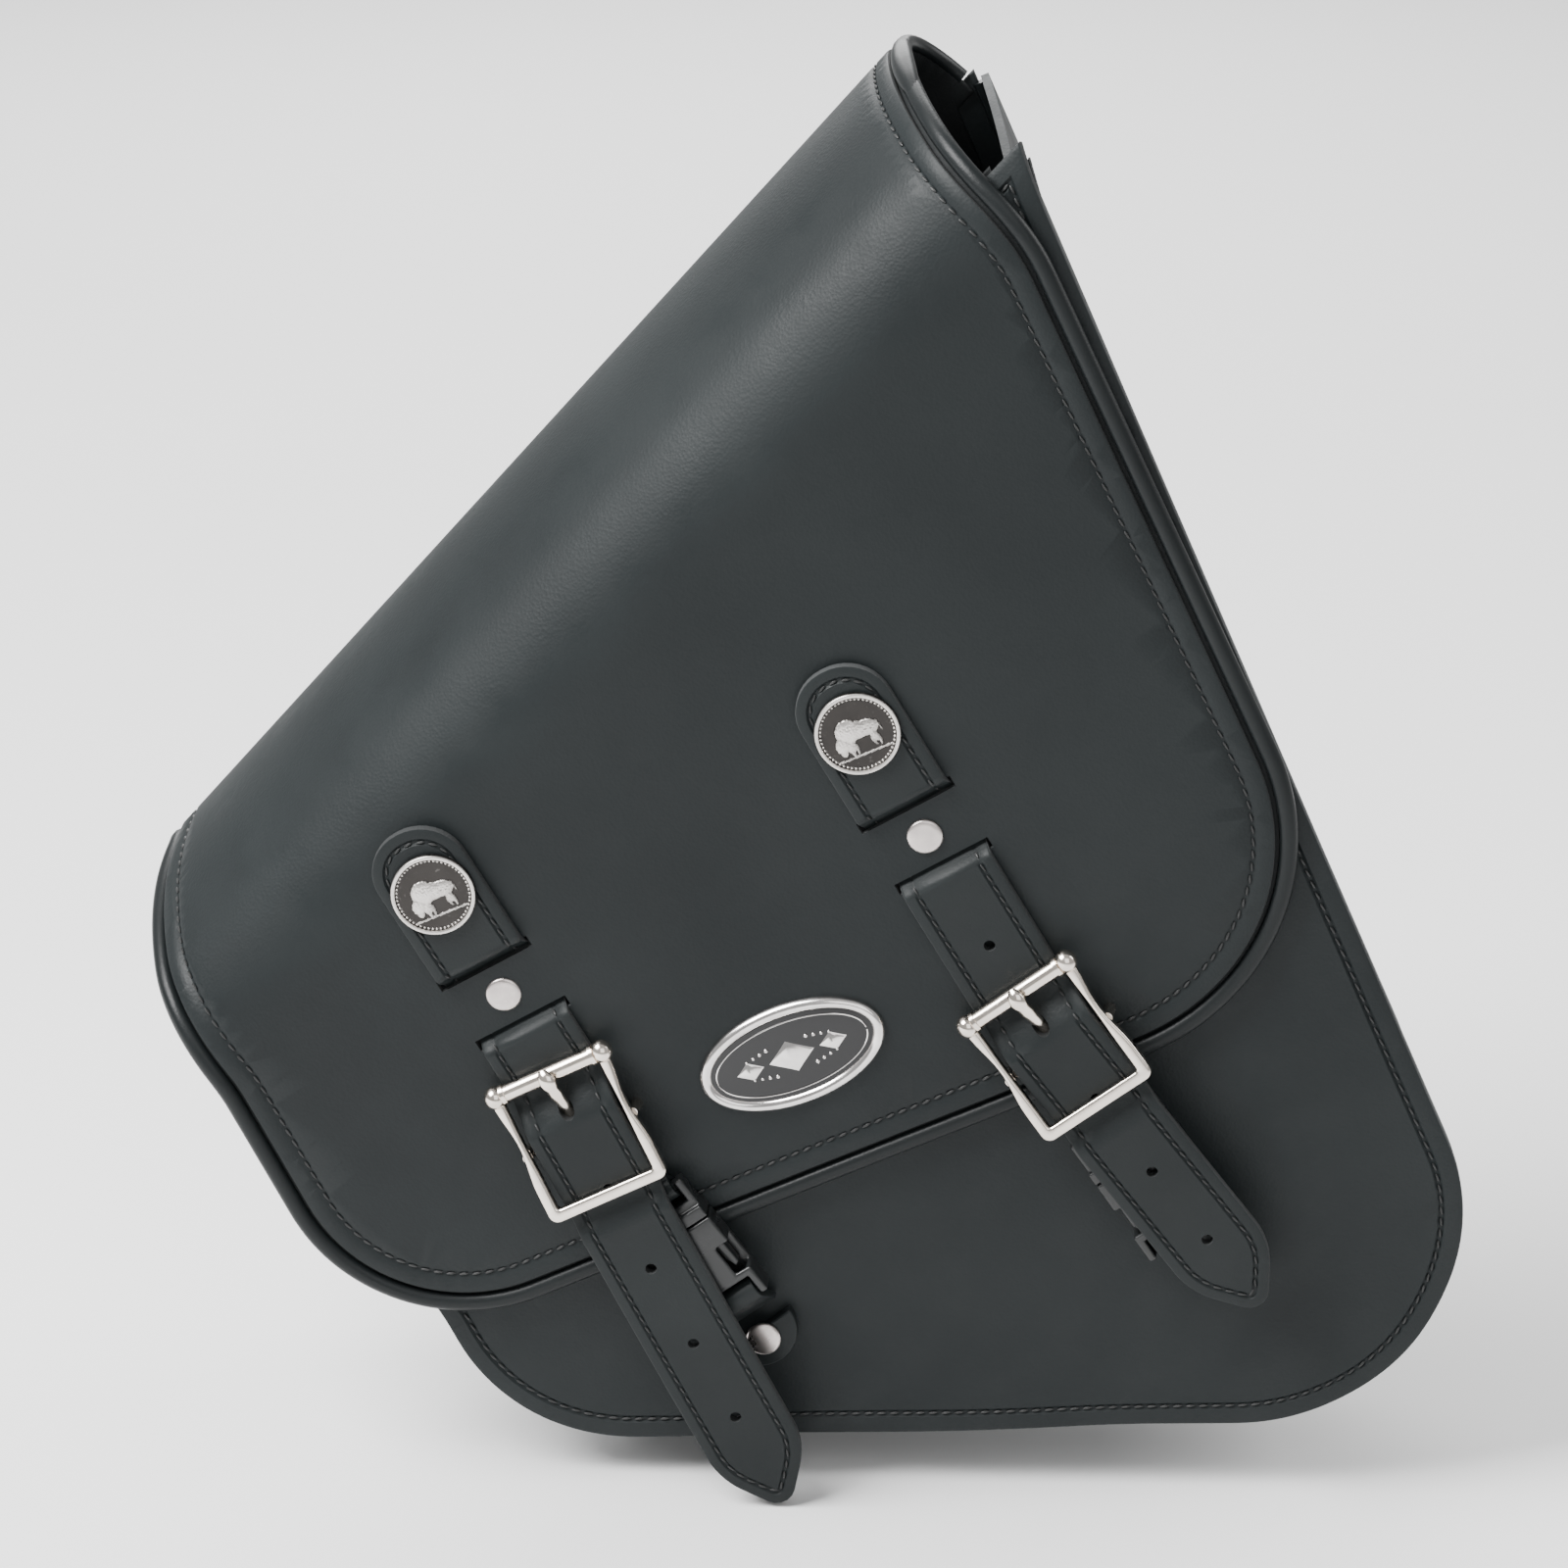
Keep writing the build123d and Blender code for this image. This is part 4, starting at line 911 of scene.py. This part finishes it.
    def build_back(self) -> None:
        """Make the back panel round its eyelets, its stitching, and the piping."""
        c, s = math.cos(self.fold.slope), math.sin(self.fold.slope)
        holes = []
        for x, z in self.eyelet_spots:
            drop = z - self.fold.centre_z
            centre = Vector((x * c + drop * s, -x * s + drop * c))
            holes.append(tuple(centre + Vector((math.cos(a), math.sin(a))) * self.eyelet for a in turns(40)))
        outline = self.pattern(self.hinge + self.back_inset)
        drawn = replace(outline, drawn=self.back_inset)
        bm = Sheet(drawn, self.back_leather, 0.7, self.back_stitch, 0.35, 0.9, tuple(holes)).build()
        shape(bm, self.on_back)
        skins = [self.finishes["body"], self.finishes["edge"]]
        publish(bm, "back_shell", Body.BAG, Slot.BODY, skins, ["back_panel"])

        bm = bmesh.new()
        path = outline.loop(self.back_inset + self.back_stitch)
        Stitching().add(bm, path, self.on_back, self.back_leather - 0.1, closed=True)
        publish(bm, "back_stitching", Body.BAG, Slot.BODY, [self.finishes["thread"]])

        path = self.open_path(outline, self.back_inset - 0.2, 260)
        bm = bmesh.new()
        frames = [frame_at(self.on_back, a, b, 0.1) for a, b in zip(path, path[1:])]
        tube(bm, frames, [(1.7, 1.9)] * len(frames))
        publish(bm, "back_edge_piping", Body.BAG, Slot.PIPING, [self.finishes["piping"]], ["back_piping"])


@dataclass
class StrapSet:
    """One strap with its concho, rivet, buckle and clip."""

    finishes: Finishes
    name: str
    concho: tuple[float, float]
    to_roller: float
    lower_angle: float
    tail: float
    face: float = 88.6
    centre_z: float = 40.0
    angle: float = 59.5
    width: float = 25.4
    leather: float = 3.0
    skived: float = 1.75
    tab_end: float = 18.3
    first_slit: float = 22.4
    second_slit: float = 41.5
    slit: float = 3.1
    slit_margin: float = 0.9
    roller_lift: float = 5.85
    keeper_lift: float = 11.1
    keeper: float = 35.2
    hole: float = 1.5
    hole_pitch: float = 24.2
    tongue_hole: float = 10.2
    hole_end: float = 17.0
    stitch_inset: float = 3.6
    rivet: float = 11.2
    frame_inner: float = 13.8
    frame_outer: float = 17.0
    frame_end: float = 36.9
    frame_bar: float = 3.4

    # distance past the roller, lift, half width and half height of the tongue
    TONGUE = (
        (18.5, 3.1, 1.5, 1.0), (14.5, 4.1, 1.6, 1.2), (9.5, 6.2, 1.6, 1.2), (6.4, 7.6, 1.7, 1.3),
        (4.2, 8.6, 1.9, 1.35), (2.6, 9.3, 1.75, 1.15), (1.5, 9.7, 2.15, 1.45), (0.4, 9.8, 2.25, 1.5),
        (-0.7, 9.7, 2.15, 1.4), (-1.8, 9.3, 1.7, 1.05), (-2.7, 8.8, 1.0, 0.6),
    )
    # the turned rivet head's section, as radius and height
    RIVET_HEAD = ((0.0, 0.95), (3.0, 0.95), (3.9, 0.9), (4.4, 0.7), (4.65, 0.3), (4.65, -0.4), (0.0, -0.4))

    @property
    def roller(self) -> float:
        """Distance from the concho to the roller."""
        return 42.1 + self.to_roller

    def axis(self, angle: float) -> tuple[Vector, Vector]:
        """Return the ways down and across a strap at an angle."""
        a = math.radians(angle)
        return Vector((math.cos(a), 0, -math.sin(a))), Vector((math.sin(a), 0, math.cos(a)))

    def place(self, down: float, across: float, lift: float) -> Vector:
        """Place a point of the flat strap on the flap.

        Args:
            down: Distance down the strap from the concho.
            across: Distance across it.
            lift: Height above the flap's face.

        Returns:
            The point, in millimetres.
        """
        origin = Vector((self.concho[0], -self.face - lift, self.concho[1] + self.centre_z))
        ahead, side = self.axis(self.angle)
        past = down - self.roller
        if past <= 0:
            return origin + ahead * down + side * across
        lower, lower_side = self.axis(self.lower_angle)
        ease = min(1.0, past / 14.0)
        return origin + ahead * self.roller + lower * past + side.lerp(lower_side, ease).normalized() * across

    def bed(self, down: float) -> tuple[float, float]:
        """Return the strap's underside height and its share of full thickness at a distance down."""
        r, end = self.roller, self.roller + self.tail
        thin = self.skived / self.leather
        low = -2.1 - self.skived
        knots = (
            (-self.tab_end, 0.0, 1.0),
            (self.first_slit - 1.0, 0.0, 1.0),
            (self.first_slit + 3.2, low, thin),
            (self.second_slit - 0.4, low, thin),
            (self.second_slit + 4.2, 0.0, 1.0),
            (self.second_slit + 8.5, 0.3, 1.0),
            (r + 2.0, 0.3, 1.0),
            (r + 15.5, 6.1, 1.0),
            (r + self.keeper + 1.5, 6.1, 1.0),
            (r + 46.0, 8.5, 1.0),
            (end - 60.0, 8.5, 1.0),
            (end + 1.0, 7.6, 1.0),
        )
        for (a, la, ta), (b, lb, tb) in zip(knots, knots[1:]):
            if down <= b:
                t = min(1.0, max(0.0, (down - a) / (b - a)))
                t = t * t * (3 - 2 * t)
                return la + (lb - la) * t, ta + (tb - ta) * t
        return knots[-1][1], 1.0

    def lay(self, down: float, across: float, lift: float) -> Vector:
        """Place a point of the flat strap on its bed, crowned a little across."""
        base, share = self.bed(down)
        crown = -0.25 * (2 * across / self.width) ** 2
        return self.place(down, across, base + lift * share + crown * (down > self.roller + 46))

    def pattern(self) -> Pattern:
        """Return the strap's outline, flat."""
        half, end = self.width / 2, self.roller + self.tail
        return Pattern(
            (
                (-self.tab_end, -half, half - 0.4),
                (end - 15.0, -half, 20.0),
                (end + 1.4, 0.0, 5.0),
                (end - 15.0, half, 20.0),
                (-self.tab_end, half, half - 0.4),
            ),
            4.0,
        )

    def slit_spans(self) -> tuple[tuple[float, float], ...]:
        """Return where each slit starts and ends down the strap."""
        return tuple((start, start + self.slit) for start in (self.first_slit, self.second_slit))

    def slit_outline(self, low: float, high: float) -> tuple[Vector, ...]:
        """Return a slit's outline on the flap's flat pattern."""
        half = self.width / 2 + self.slit_margin
        fold = Fold()
        c, s = math.cos(fold.slope), math.sin(fold.slope)
        corners = []
        for down, across in ((low, -half), (high, -half), (high, half), (low, half)):
            spot = self.place(down, across, 0.0)
            up = spot.z - fold.centre_z
            corners.append(Vector((spot.x * c + up * s, -spot.x * s + up * c)))
        return tuple(a.lerp(b, k / 4) for a, b in zip(corners, corners[1:] + corners[:1]) for k in range(4))

    def hole_places(self) -> list[float]:
        """Return where the punched holes lie down the strap."""
        places = [self.roller + self.tongue_hole + self.hole_pitch * k for k in range(1, 6)]
        if self.to_roller > self.hole_pitch:
            places.append(self.roller + self.tongue_hole - self.hole_pitch)
        return [place for place in places if place < self.roller + self.tail - self.hole_end]

    def build_strap(self) -> None:
        """Make the strap and its stitching."""
        holes = [
            tuple(Vector((down, 0)) + rotated(Vector((self.hole, 0)), a) for a in turns(20))
            for down in self.hole_places()
        ]
        slot = self.roller + self.tongue_hole
        holes.append(tuple(Vector((slot + 2.9 * math.cos(a), 2.0 * math.sin(a))) for a in turns(24)))
        outline = self.pattern()
        bm = Sheet(outline, self.leather, 0.6, self.stitch_inset, 0.5, 0.9, tuple(holes)).build()
        bent = self.roller + 50.0
        fine = steps(self.first_slit - 3, bent, 0.9)
        cut_across(bm, 0, fine + steps(bent, self.roller + self.tail, 6.0))
        shape(bm, self.lay)
        skins = [self.finishes["strap"], self.finishes["edge"]]
        publish(bm, f"buckled_strap_{self.name}", Body.FLAP, Slot.STRAP, skins, [f"strap_{self.name}"])
        bm = bmesh.new()
        stitches, path = Stitching(3.3, 2.3, 0.75, 0.75), outline.loop(self.stitch_inset)
        stitches.add(bm, path, self.lay, self.leather - 0.22, closed=True)
        publish(bm, f"strap_stitching_{self.name}", Body.FLAP, Slot.STRAP, [self.finishes["thread"]])

    def frame(self, down: float, lift: float) -> Matrix:
        """Return a frame on the strap: x across it to the upper right, y up it, z outward."""
        ahead, side = self.axis(self.angle if down <= self.roller else self.lower_angle)
        axes = Matrix((side, -ahead, Vector((0, -1, 0)))).transposed().to_4x4()
        return Matrix.Translation(self.place(down, 0, lift)) @ axes

    def build(self) -> None:
        """Make every piece of the set."""
        self.build_strap()
        Concho(self.finishes, self.name, self.frame(0.0, self.leather)).build()
        bm = bmesh.new()
        turned(bm, self.RIVET_HEAD, self.frame(self.first_slit + self.rivet, 0.0))
        skins, node = [self.finishes["rivet"]], f"flap_rivet_{self.name}"
        publish(bm, f"flap_rivet_cap_{self.name}", Body.FLAP, Slot.RIVET, skins, [node])
        self.build_buckle()
        self.build_clip()

    def buckle_matrix(self) -> Matrix:
        """Return the buckle's frame: x down from the roller, y across, z outward."""
        rise = self.keeper_lift - self.roller_lift
        lean = rise / self.keeper
        level = math.sqrt(1 - lean * lean)
        ahead, side = self.axis(self.lower_angle)
        outward = Vector((0, -1, 0))
        down = ahead * level + outward * lean
        up = outward * level - ahead * lean
        axes = Matrix((down, side, up)).transposed().to_4x4()
        return Matrix.Translation(self.place(self.roller, 0, self.roller_lift)) @ axes

    def build_buckle(self) -> None:
        """Make the cast frame with its ball ends, and the tongue; the roller stays as it is."""
        inner, outer, end, bar = self.frame_inner, self.frame_outer, self.frame_end, self.frame_bar
        matrix = self.buckle_matrix()
        ways = [k / 16 for k in range(17)]
        waist = [1.35 * math.sin(math.pi * min(1.0, t * 1.25)) ** 2 for t in ways]
        run = end - 2.6
        bends = [math.pi / 2 * k / 6 for k in range(1, 7)]
        right_out = [Vector((1.0 + (run - 1.0) * t, outer - w)) for t, w in zip(ways, waist)]
        corner_out = [Vector((run + 2.6 * math.sin(a), outer - 2.6 + 2.6 * math.cos(a))) for a in bends]
        right_in = [Vector((1.0 + (end - bar - 1.7) * t, inner + w * 0.12)) for t, w in zip(ways, waist)]
        corner_in = [
            Vector((end - bar - 0.7 + 0.7 * math.sin(a), inner - 0.7 + 0.7 * math.cos(a))) for a in bends
        ]
        bm = bmesh.new()
        loops = []
        for side, corner in ((right_out, corner_out), (right_in, corner_in)):
            half = side + corner
            path = half + [Vector((p.x, -p.y)) for p in reversed(half)]
            loops.append(ring(bm, path, -1.55, closed=False))
        bmesh.ops.bridge_loops(bm, edges=loops[0] + loops[1])
        raised = bmesh.ops.extrude_face_region(bm, geom=bm.faces[:])
        upper = [item for item in raised["geom"] if isinstance(item, bmesh.types.BMVert)]
        bmesh.ops.translate(bm, vec=(0, 0, 3.1), verts=upper)
        bmesh.ops.recalc_face_normals(bm, faces=bm.faces)
        rims = [e for e in bm.edges if e.is_manifold and e.calc_face_angle(0.0) > math.radians(60)]
        bmesh.ops.bevel(
            bm, geom=rims, offset=0.95, offset_type="OFFSET", segments=4, profile=0.5, affect="EDGES",
            clamp_overlap=True, material=-1,
        )
        across = Matrix.Rotation(math.pi / 2, 4, "X")
        for way in (-1, 1):
            ball = Matrix.Translation((0, way * 15.5, 0)) @ Matrix.Diagonal((1.0, 0.92, 1.0, 1))
            bmesh.ops.create_uvsphere(bm, u_segments=28, v_segments=18, radius=3.15, matrix=ball)
            rod(bm, Matrix.Translation((0, way * 13.0, 0)) @ across, (2.75, 2.75), 1.1, 28)
            rod(bm, Matrix.Translation((18.2, way * 15.2, -4.6)), (1.7, 1.4), 8.0)
        rod(bm, across, (1.3, 1.3), 30.0)
        rod(bm, Matrix.Translation((18.2, 0, -5.6)) @ across, (1.38, 1.38), 30.0)
        bmesh.ops.transform(bm, matrix=matrix, verts=bm.verts)
        skins, node = [self.finishes["buckle"]], f"buckle_frame_{self.name}"
        publish(bm, f"cast_buckle_{self.name}", Body.FLAP, Slot.BUCKLE, skins, [node])

        self.build_tongue()

    def build_tongue(self) -> None:
        """Make the tongue, swept from the centre bar through the strap's hole and over the roller."""
        bm = bmesh.new()
        places = [self.place(self.roller + d, 0, lift) for d, lift, _, _ in self.TONGUE]
        side = self.axis(self.lower_angle)[1]
        frames = []
        for k, spot in enumerate(places):
            x = (places[min(k + 1, len(places) - 1)] - places[max(k - 1, 0)]).normalized()
            z = x.cross(side).normalized()
            frames.append(Matrix.Translation(spot) @ Matrix((x, side, z)).transposed().to_4x4())
        tube(bm, frames, [(w, h) for _, _, w, h in self.TONGUE], 18)
        skins, node = [self.finishes["buckle"]], f"buckle_tongue_{self.name}"
        publish(bm, f"cast_tongue_{self.name}", f"tongue_{self.name}", Slot.BUCKLE, skins, [node])

    def build_clip(self) -> None:
        """Make the clip's halves, its leather ends, and the anchor's stud."""
        plastic, strap, rivet = (self.finishes[key] for key in ("clip", "strap", "rivet"))
        side = self.name
        for node, ease, body, slot, finish in (
            ("clip_male", 0.7, Body.FLAP, Slot.CLIP, plastic),
            ("clip_female", 0.8, f"clip_{side}", Slot.CLIP, plastic),
            ("clip_arm_upper", 0.5, f"arm_upper_{side}", Slot.CLIP, plastic),
            ("clip_arm_lower", 0.5, f"arm_lower_{side}", Slot.CLIP, plastic),
            ("chape", 0.3, Body.FLAP, Slot.STRAP, strap),
            ("clip_loop", 0.4, f"clip_{side}", Slot.STRAP, strap),
            ("anchor_tab", 0.7, Body.BAG, Slot.STRAP, strap),
            ("anchor_rivet", 0.3, Body.BAG, Slot.RIVET, rivet),
        ):
            softened(f"{node}_{side}", ease, body, slot, finish)


@dataclass
class Concho:
    """Coin-style stud: a beaded rim round a standing bison on a ground line."""

    finishes: Finishes
    name: str
    frame: Matrix
    radius: float = 11.0
    field: float = 9.1
    thickness: float = 1.7
    beads: int = 56
    relief: float = 0.85

    # centre x, centre y, half length, half height, turn in degrees, and height
    BISON = (
        (-2.0, 1.7, 3.3, 3.2, 28, 1.0),
        (-0.2, 1.2, 4.4, 2.5, -14, 0.8),
        (3.0, 0.5, 3.0, 2.2, -10, 0.72),
        (-4.7, -0.9, 1.9, 2.5, -32, 0.95),
        (-5.3, -2.9, 1.0, 1.3, -12, 0.7),
        (-3.0, -1.6, 1.5, 2.6, -6, 0.75),
        (-3.3, -4.0, 0.5, 1.5, 4, 0.6),
        (-1.9, -3.7, 0.42, 1.6, -12, 0.45),
        (3.7, -2.2, 1.0, 1.9, 14, 0.66),
        (4.4, -3.9, 0.42, 1.5, -6, 0.55),
        (2.9, -3.6, 0.4, 1.4, 12, 0.42),
        (6.0, -0.2, 0.26, 1.9, 8, 0.45),
        (-4.4, 1.6, 0.3, 1.1, 38, 0.75),
    )

    def height(self, x: float, y: float) -> float:
        """Return the relief's height, from 0 to 1, at a place on the coin's field."""
        best = 0.0
        for cx, cy, a, b, turn, top in self.BISON:
            spot = rotated(Vector((x - cx, y - cy)), -math.radians(turn))
            inside = 1 - (spot.x / a) ** 2 - (spot.y / b) ** 2
            if inside > 0:
                best = max(best, top * (0.35 + 0.65 * math.sqrt(inside)))
        if best:
            best += 0.16 * noise.noise(Vector((x * 1.3, y * 1.3, 0.0)) * 1.9)
        ground = -5.6 - 0.1 * x
        if ground - 0.35 < y < ground + 0.2:
            best = max(best, 0.4)
        return best

    def build(self) -> None:
        """Make the coin, with its relief stored for the finish."""
        bm = bmesh.new()
        layer = bm.verts.layers.float.new("relief")
        r, t = self.radius, self.thickness
        rim = (
            (0.0, 0.0), (r - 0.3, 0.0), (r, 0.3), (r, t - 0.5), (r - 0.3, t - 0.1),
            (r - 0.7, t), (r - 1.1, t - 0.15), (r - 1.3, t - 0.85), (0.0, t - 0.95),
        )
        turned(bm, rim, Matrix.Identity(4), 72)
        for vert in bm.verts:
            vert[layer] = 0.6 if vert.co.z > t - 0.3 else 0.2
        for a in turns(self.beads):
            spot = Matrix.Translation((9.35 * math.cos(a), 9.35 * math.sin(a), t - 0.7))
            made = bmesh.ops.create_uvsphere(bm, u_segments=8, v_segments=5, radius=0.34, matrix=spot)
            for vert in made["verts"]:
                vert[layer] = 0.8
        self.add_relief(bm, layer)
        bmesh.ops.transform(bm, matrix=self.frame, verts=bm.verts)
        skins = [self.finishes["coin"]]
        publish(bm, f"bison_concho_{self.name}", Body.FLAP, Slot.COIN, skins, [f"concho_{self.name}"])

    def add_relief(self, bm: bmesh.types.BMesh, layer: object) -> None:
        """Raise the bison from a closed disc set into the coin's field."""
        before = set(bm.verts)
        bmesh.ops.create_grid(bm, x_segments=88, y_segments=88, size=self.field)
        made = [v for v in bm.verts if v not in before]
        outside = [v for v in made if v.co.xy.length > self.field]
        bmesh.ops.delete(bm, geom=outside, context="VERTS")
        made = [v for v in bm.verts if v not in before]
        faces = list({f for v in made for f in v.link_faces})
        lowered = bmesh.ops.extrude_face_region(bm, geom=faces)
        fresh = [g for g in lowered["geom"] if isinstance(g, bmesh.types.BMVert)]
        for vert in made:
            if vert.is_valid:
                vert.co.z = self.thickness - 0.95
        for vert in fresh:
            rise = self.height(vert.co.x, vert.co.y)
            vert.co.z = self.thickness - 0.72 + rise * self.relief
            vert[layer] = 0.26 + 0.36 * rise if rise else 0.14


@dataclass
class Badge:
    """Oval badge: domed rim, gloss enamel, and an emblem of faceted diamonds in a fine oval line."""

    finishes: Finishes
    centre: tuple[float, float] = (2.1, -74.7)
    angle: float = 24.3
    length: float = 51.0
    height: float = 28.0
    face: float = 88.6
    centre_z: float = 40.0

    def frame(self) -> Matrix:
        """Return the badge's frame: x along it, y up, z outward."""
        a = math.radians(self.angle)
        axes = Matrix(((math.cos(a), 0, math.sin(a)), (-math.sin(a), 0, math.cos(a)), (0, -1, 0)))
        origin = Vector((self.centre[0], -self.face, self.centre[1] + self.centre_z))
        return Matrix.Translation(origin) @ axes.transposed().to_4x4()

    def oval(self, inset: float) -> list[Vector]:
        """Return the oval drawn in by an inset."""
        a, b = self.length / 2 - inset, self.height / 2 - inset
        return [Vector((a * math.cos(t), b * math.sin(t))) for t in turns(96)]

    # sections from the edge inwards, as inset and lift
    RIM = (
        (0.0, -0.2), (0.0, 0.7), (0.35, 1.35), (1.0, 1.9),
        (1.8, 2.05), (2.6, 1.75), (3.1, 1.15), (3.3, 0.85),
    )
    FIELD = ((3.15, 0.8), (3.2, 1.05), (5.0, 1.3), (8.0, 1.5), (11.0, 1.6))

    def build(self) -> None:
        """Make the plate, the enamel and the emblem."""
        self.build_layer("badge_rim", self.RIM, Slot.CHROME, "chrome", "badge_plate")
        self.build_layer("badge_enamel", self.FIELD, Slot.ENAMEL, "enamel", "badge_inlay")
        self.build_emblem()

    def build_layer(
        self, name: str, section: Sequence[tuple[float, float]], slot: Slot, finish: str, node: str
    ) -> None:
        """Make one oval layer from its section."""
        bm = bmesh.new()
        rings = [ring(bm, self.oval(inset), lift) for inset, lift in section]
        for lower, upper in zip(rings, rings[1:]):
            bmesh.ops.bridge_loops(bm, edges=lower + upper)
        for edges in (rings[0], rings[-1]):
            bmesh.ops.contextual_create(bm, geom=edges)
        bmesh.ops.transform(bm, matrix=self.frame(), verts=bm.verts)
        publish(bm, name, Body.FLAP, slot, [self.finishes[finish]], [node])

    def build_emblem(self) -> None:
        """Make the raised diamonds, the rows of small studs beside them, and the oval line."""
        bm = bmesh.new()
        for x, half in ((-11.6, 3.0), (0.0, 5.0), (11.6, 3.0)):
            spot = Matrix.Translation((x, 0, 1.35 + 0.35)) @ Matrix.Diagonal((1.45, 1, 1, 1))
            rod(bm, spot, (half, half * 0.62), 0.7, 4)
            top = Matrix.Translation((x, 0, 1.35 + 0.95)) @ Matrix.Diagonal((1.45, 1, 1, 1))
            rod(bm, top, (half * 0.5, 0.05), 0.5, 4)
        for side in (-1, 1):
            for row in (-1, 1):
                for k in range(4):
                    spot = Matrix.Translation((side * (5.6 + 2.0 * k), row * (3.9 - 0.42 * k), 1.55))
                    size = 0.62 - 0.07 * k
                    bmesh.ops.create_uvsphere(bm, u_segments=12, v_segments=8, radius=size, matrix=spot)
        up = Vector((0, 0, 1))
        line = [p.to_3d() + up * 1.25 for p in self.oval(4.6)]
        frames = []
        for here, ahead in zip(line, line[1:] + line[:1]):
            x = (ahead - here).normalized()
            axes = Matrix((x, up.cross(x), up))
            frames.append(Matrix.Translation(here) @ axes.transposed().to_4x4())
        tube(bm, frames, [(0.22, 0.28)] * len(frames), 8)
        bmesh.ops.transform(bm, matrix=self.frame(), verts=bm.verts)
        publish(bm, "badge_motif", Body.FLAP, Slot.CHROME, [self.finishes["chrome"]], ["badge_emblem"])


@dataclass
class Studio:
    """Pale floor, soft lights, a white world, and the camera."""

    view_width: float = 0.395
    distance: float = 1.35
    azimuth: float = math.radians(3)
    elevation: float = math.radians(22)
    sensor: float = 36.0
    fill: float = 0.5

    # name, place from the bag's middle, size and power
    LIGHTS = (
        ("key", (-0.75, -0.35, 0.95), 0.75, 48.0),
        ("front", (0.5, -1.5, 0.9), 1.3, 9.0),
        ("rim", (0.9, 0.25, 0.6), 0.6, 7.0),
        ("back", (-0.2, 1.5, 0.9), 1.2, 30.0),
    )

    def build(self, low: Vector, high: Vector) -> None:
        """Make the stage round the bag's box."""
        self.floor(low.z - 0.0005)
        self.camera(Vector((0.0, -0.0886, 0.040)))
        middle = (low + high) / 2
        for name, away, size, power in self.LIGHTS:
            self.light(name, middle + Vector(away), middle, size, power)
        world = bpy.data.worlds.new("studio")
        bpy.context.scene.world = world
        world.use_nodes = True
        shade = world.node_tree.nodes["Background"]
        shade.inputs["Color"].default_value = (1.0, 1.0, 1.0, 1)
        shade.inputs["Strength"].default_value = self.fill

    def floor(self, level: float) -> None:
        """Make a wide pale floor."""
        bm = bmesh.new()
        bmesh.ops.create_grid(bm, x_segments=2, y_segments=2, size=6.0)
        bmesh.ops.translate(bm, vec=(0, 0, level), verts=bm.verts)
        mesh = bpy.data.meshes.new("studio_floor")
        bm.to_mesh(mesh)
        bm.free()
        piece = bpy.data.objects.new("studio_floor", mesh)
        bpy.context.scene.collection.objects.link(piece)
        made = Nodes("studio_paper")
        paper = made.blend(made.noise(3.0), (0.86, 0.86, 0.86), (0.9, 0.9, 0.9))
        made.link(paper, made.shader.inputs["Base Color"])
        made.shader.inputs["Roughness"].default_value = 0.9
        mesh.materials.append(made.material)
        piece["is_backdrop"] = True

    def camera(self, target: Vector) -> None:
        """Make the camera and aim it."""
        a, e = self.azimuth, self.elevation
        back = Vector((math.sin(a) * math.cos(e), -math.cos(a) * math.cos(e), math.sin(e)))
        lens = bpy.data.cameras.new("camera")
        lens.sensor_width = self.sensor
        lens.lens = self.sensor * self.distance / self.view_width
        camera = bpy.data.objects.new("camera", lens)
        camera.location = target + back * self.distance
        camera.rotation_euler = (-back).to_track_quat("-Z", "Y").to_euler()
        bpy.context.scene.collection.objects.link(camera)
        bpy.context.scene.camera = camera

    def light(self, name: str, place: Vector, target: Vector, size: float, power: float) -> None:
        """Make a soft square light that looks at a target."""
        lamp = bpy.data.lights.new(name, "AREA")
        lamp.size = size
        lamp.energy = power
        piece = bpy.data.objects.new(name, lamp)
        piece.location = place
        piece.rotation_euler = (target - place).to_track_quat("-Z", "Y").to_euler()
        bpy.context.scene.collection.objects.link(piece)


def dress_frame(finishes: Finishes) -> None:
    """Give the carried-over CAD nodes their finishes, and stand in smooth-shaded copies of the two soft ones
    in the lining finish.
    """
    softened("mouth_facing", 0.0, Body.BAG, Slot.BODY, finishes["lining"])
    softened("hinge_strip", 0.0, Body.BAG, Slot.BODY, finishes["lining"])
    shown = {"back_board": "board", "front_stiffener": "board", "mounting_eyelets": "steel"}
    for side in ("left", "right"):
        shown[f"buckle_roller_{side}"] = "buckle"
        shown[f"concho_screw_{side}"] = "steel"
    for node, key in shown.items():
        mesh = bpy.data.objects[node].data
        mesh.materials.clear()
        mesh.materials.append(finishes[key])


def main() -> None:
    """Build the bag round the frame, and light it."""
    logging.basicConfig(level=logging.INFO, format="%(name)s %(message)s")
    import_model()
    frame_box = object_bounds()
    finishes = Finishes()
    fold = Fold()
    straps = [
        StrapSet(finishes, "left", (-89.1, -30.7), 14.5, 63.2, 137.2),
        StrapSet(finishes, "right", (18.6, 15.5), 38.5, 52.7, 108.2),
    ]
    Shell(finishes, fold).build()
    Flap(finishes, fold).build(straps)
    for strap in straps:
        strap.build()
    Badge(finishes).build()
    dress_frame(finishes)
    Studio().build(*frame_box)


if __name__ == "__main__":
    main()
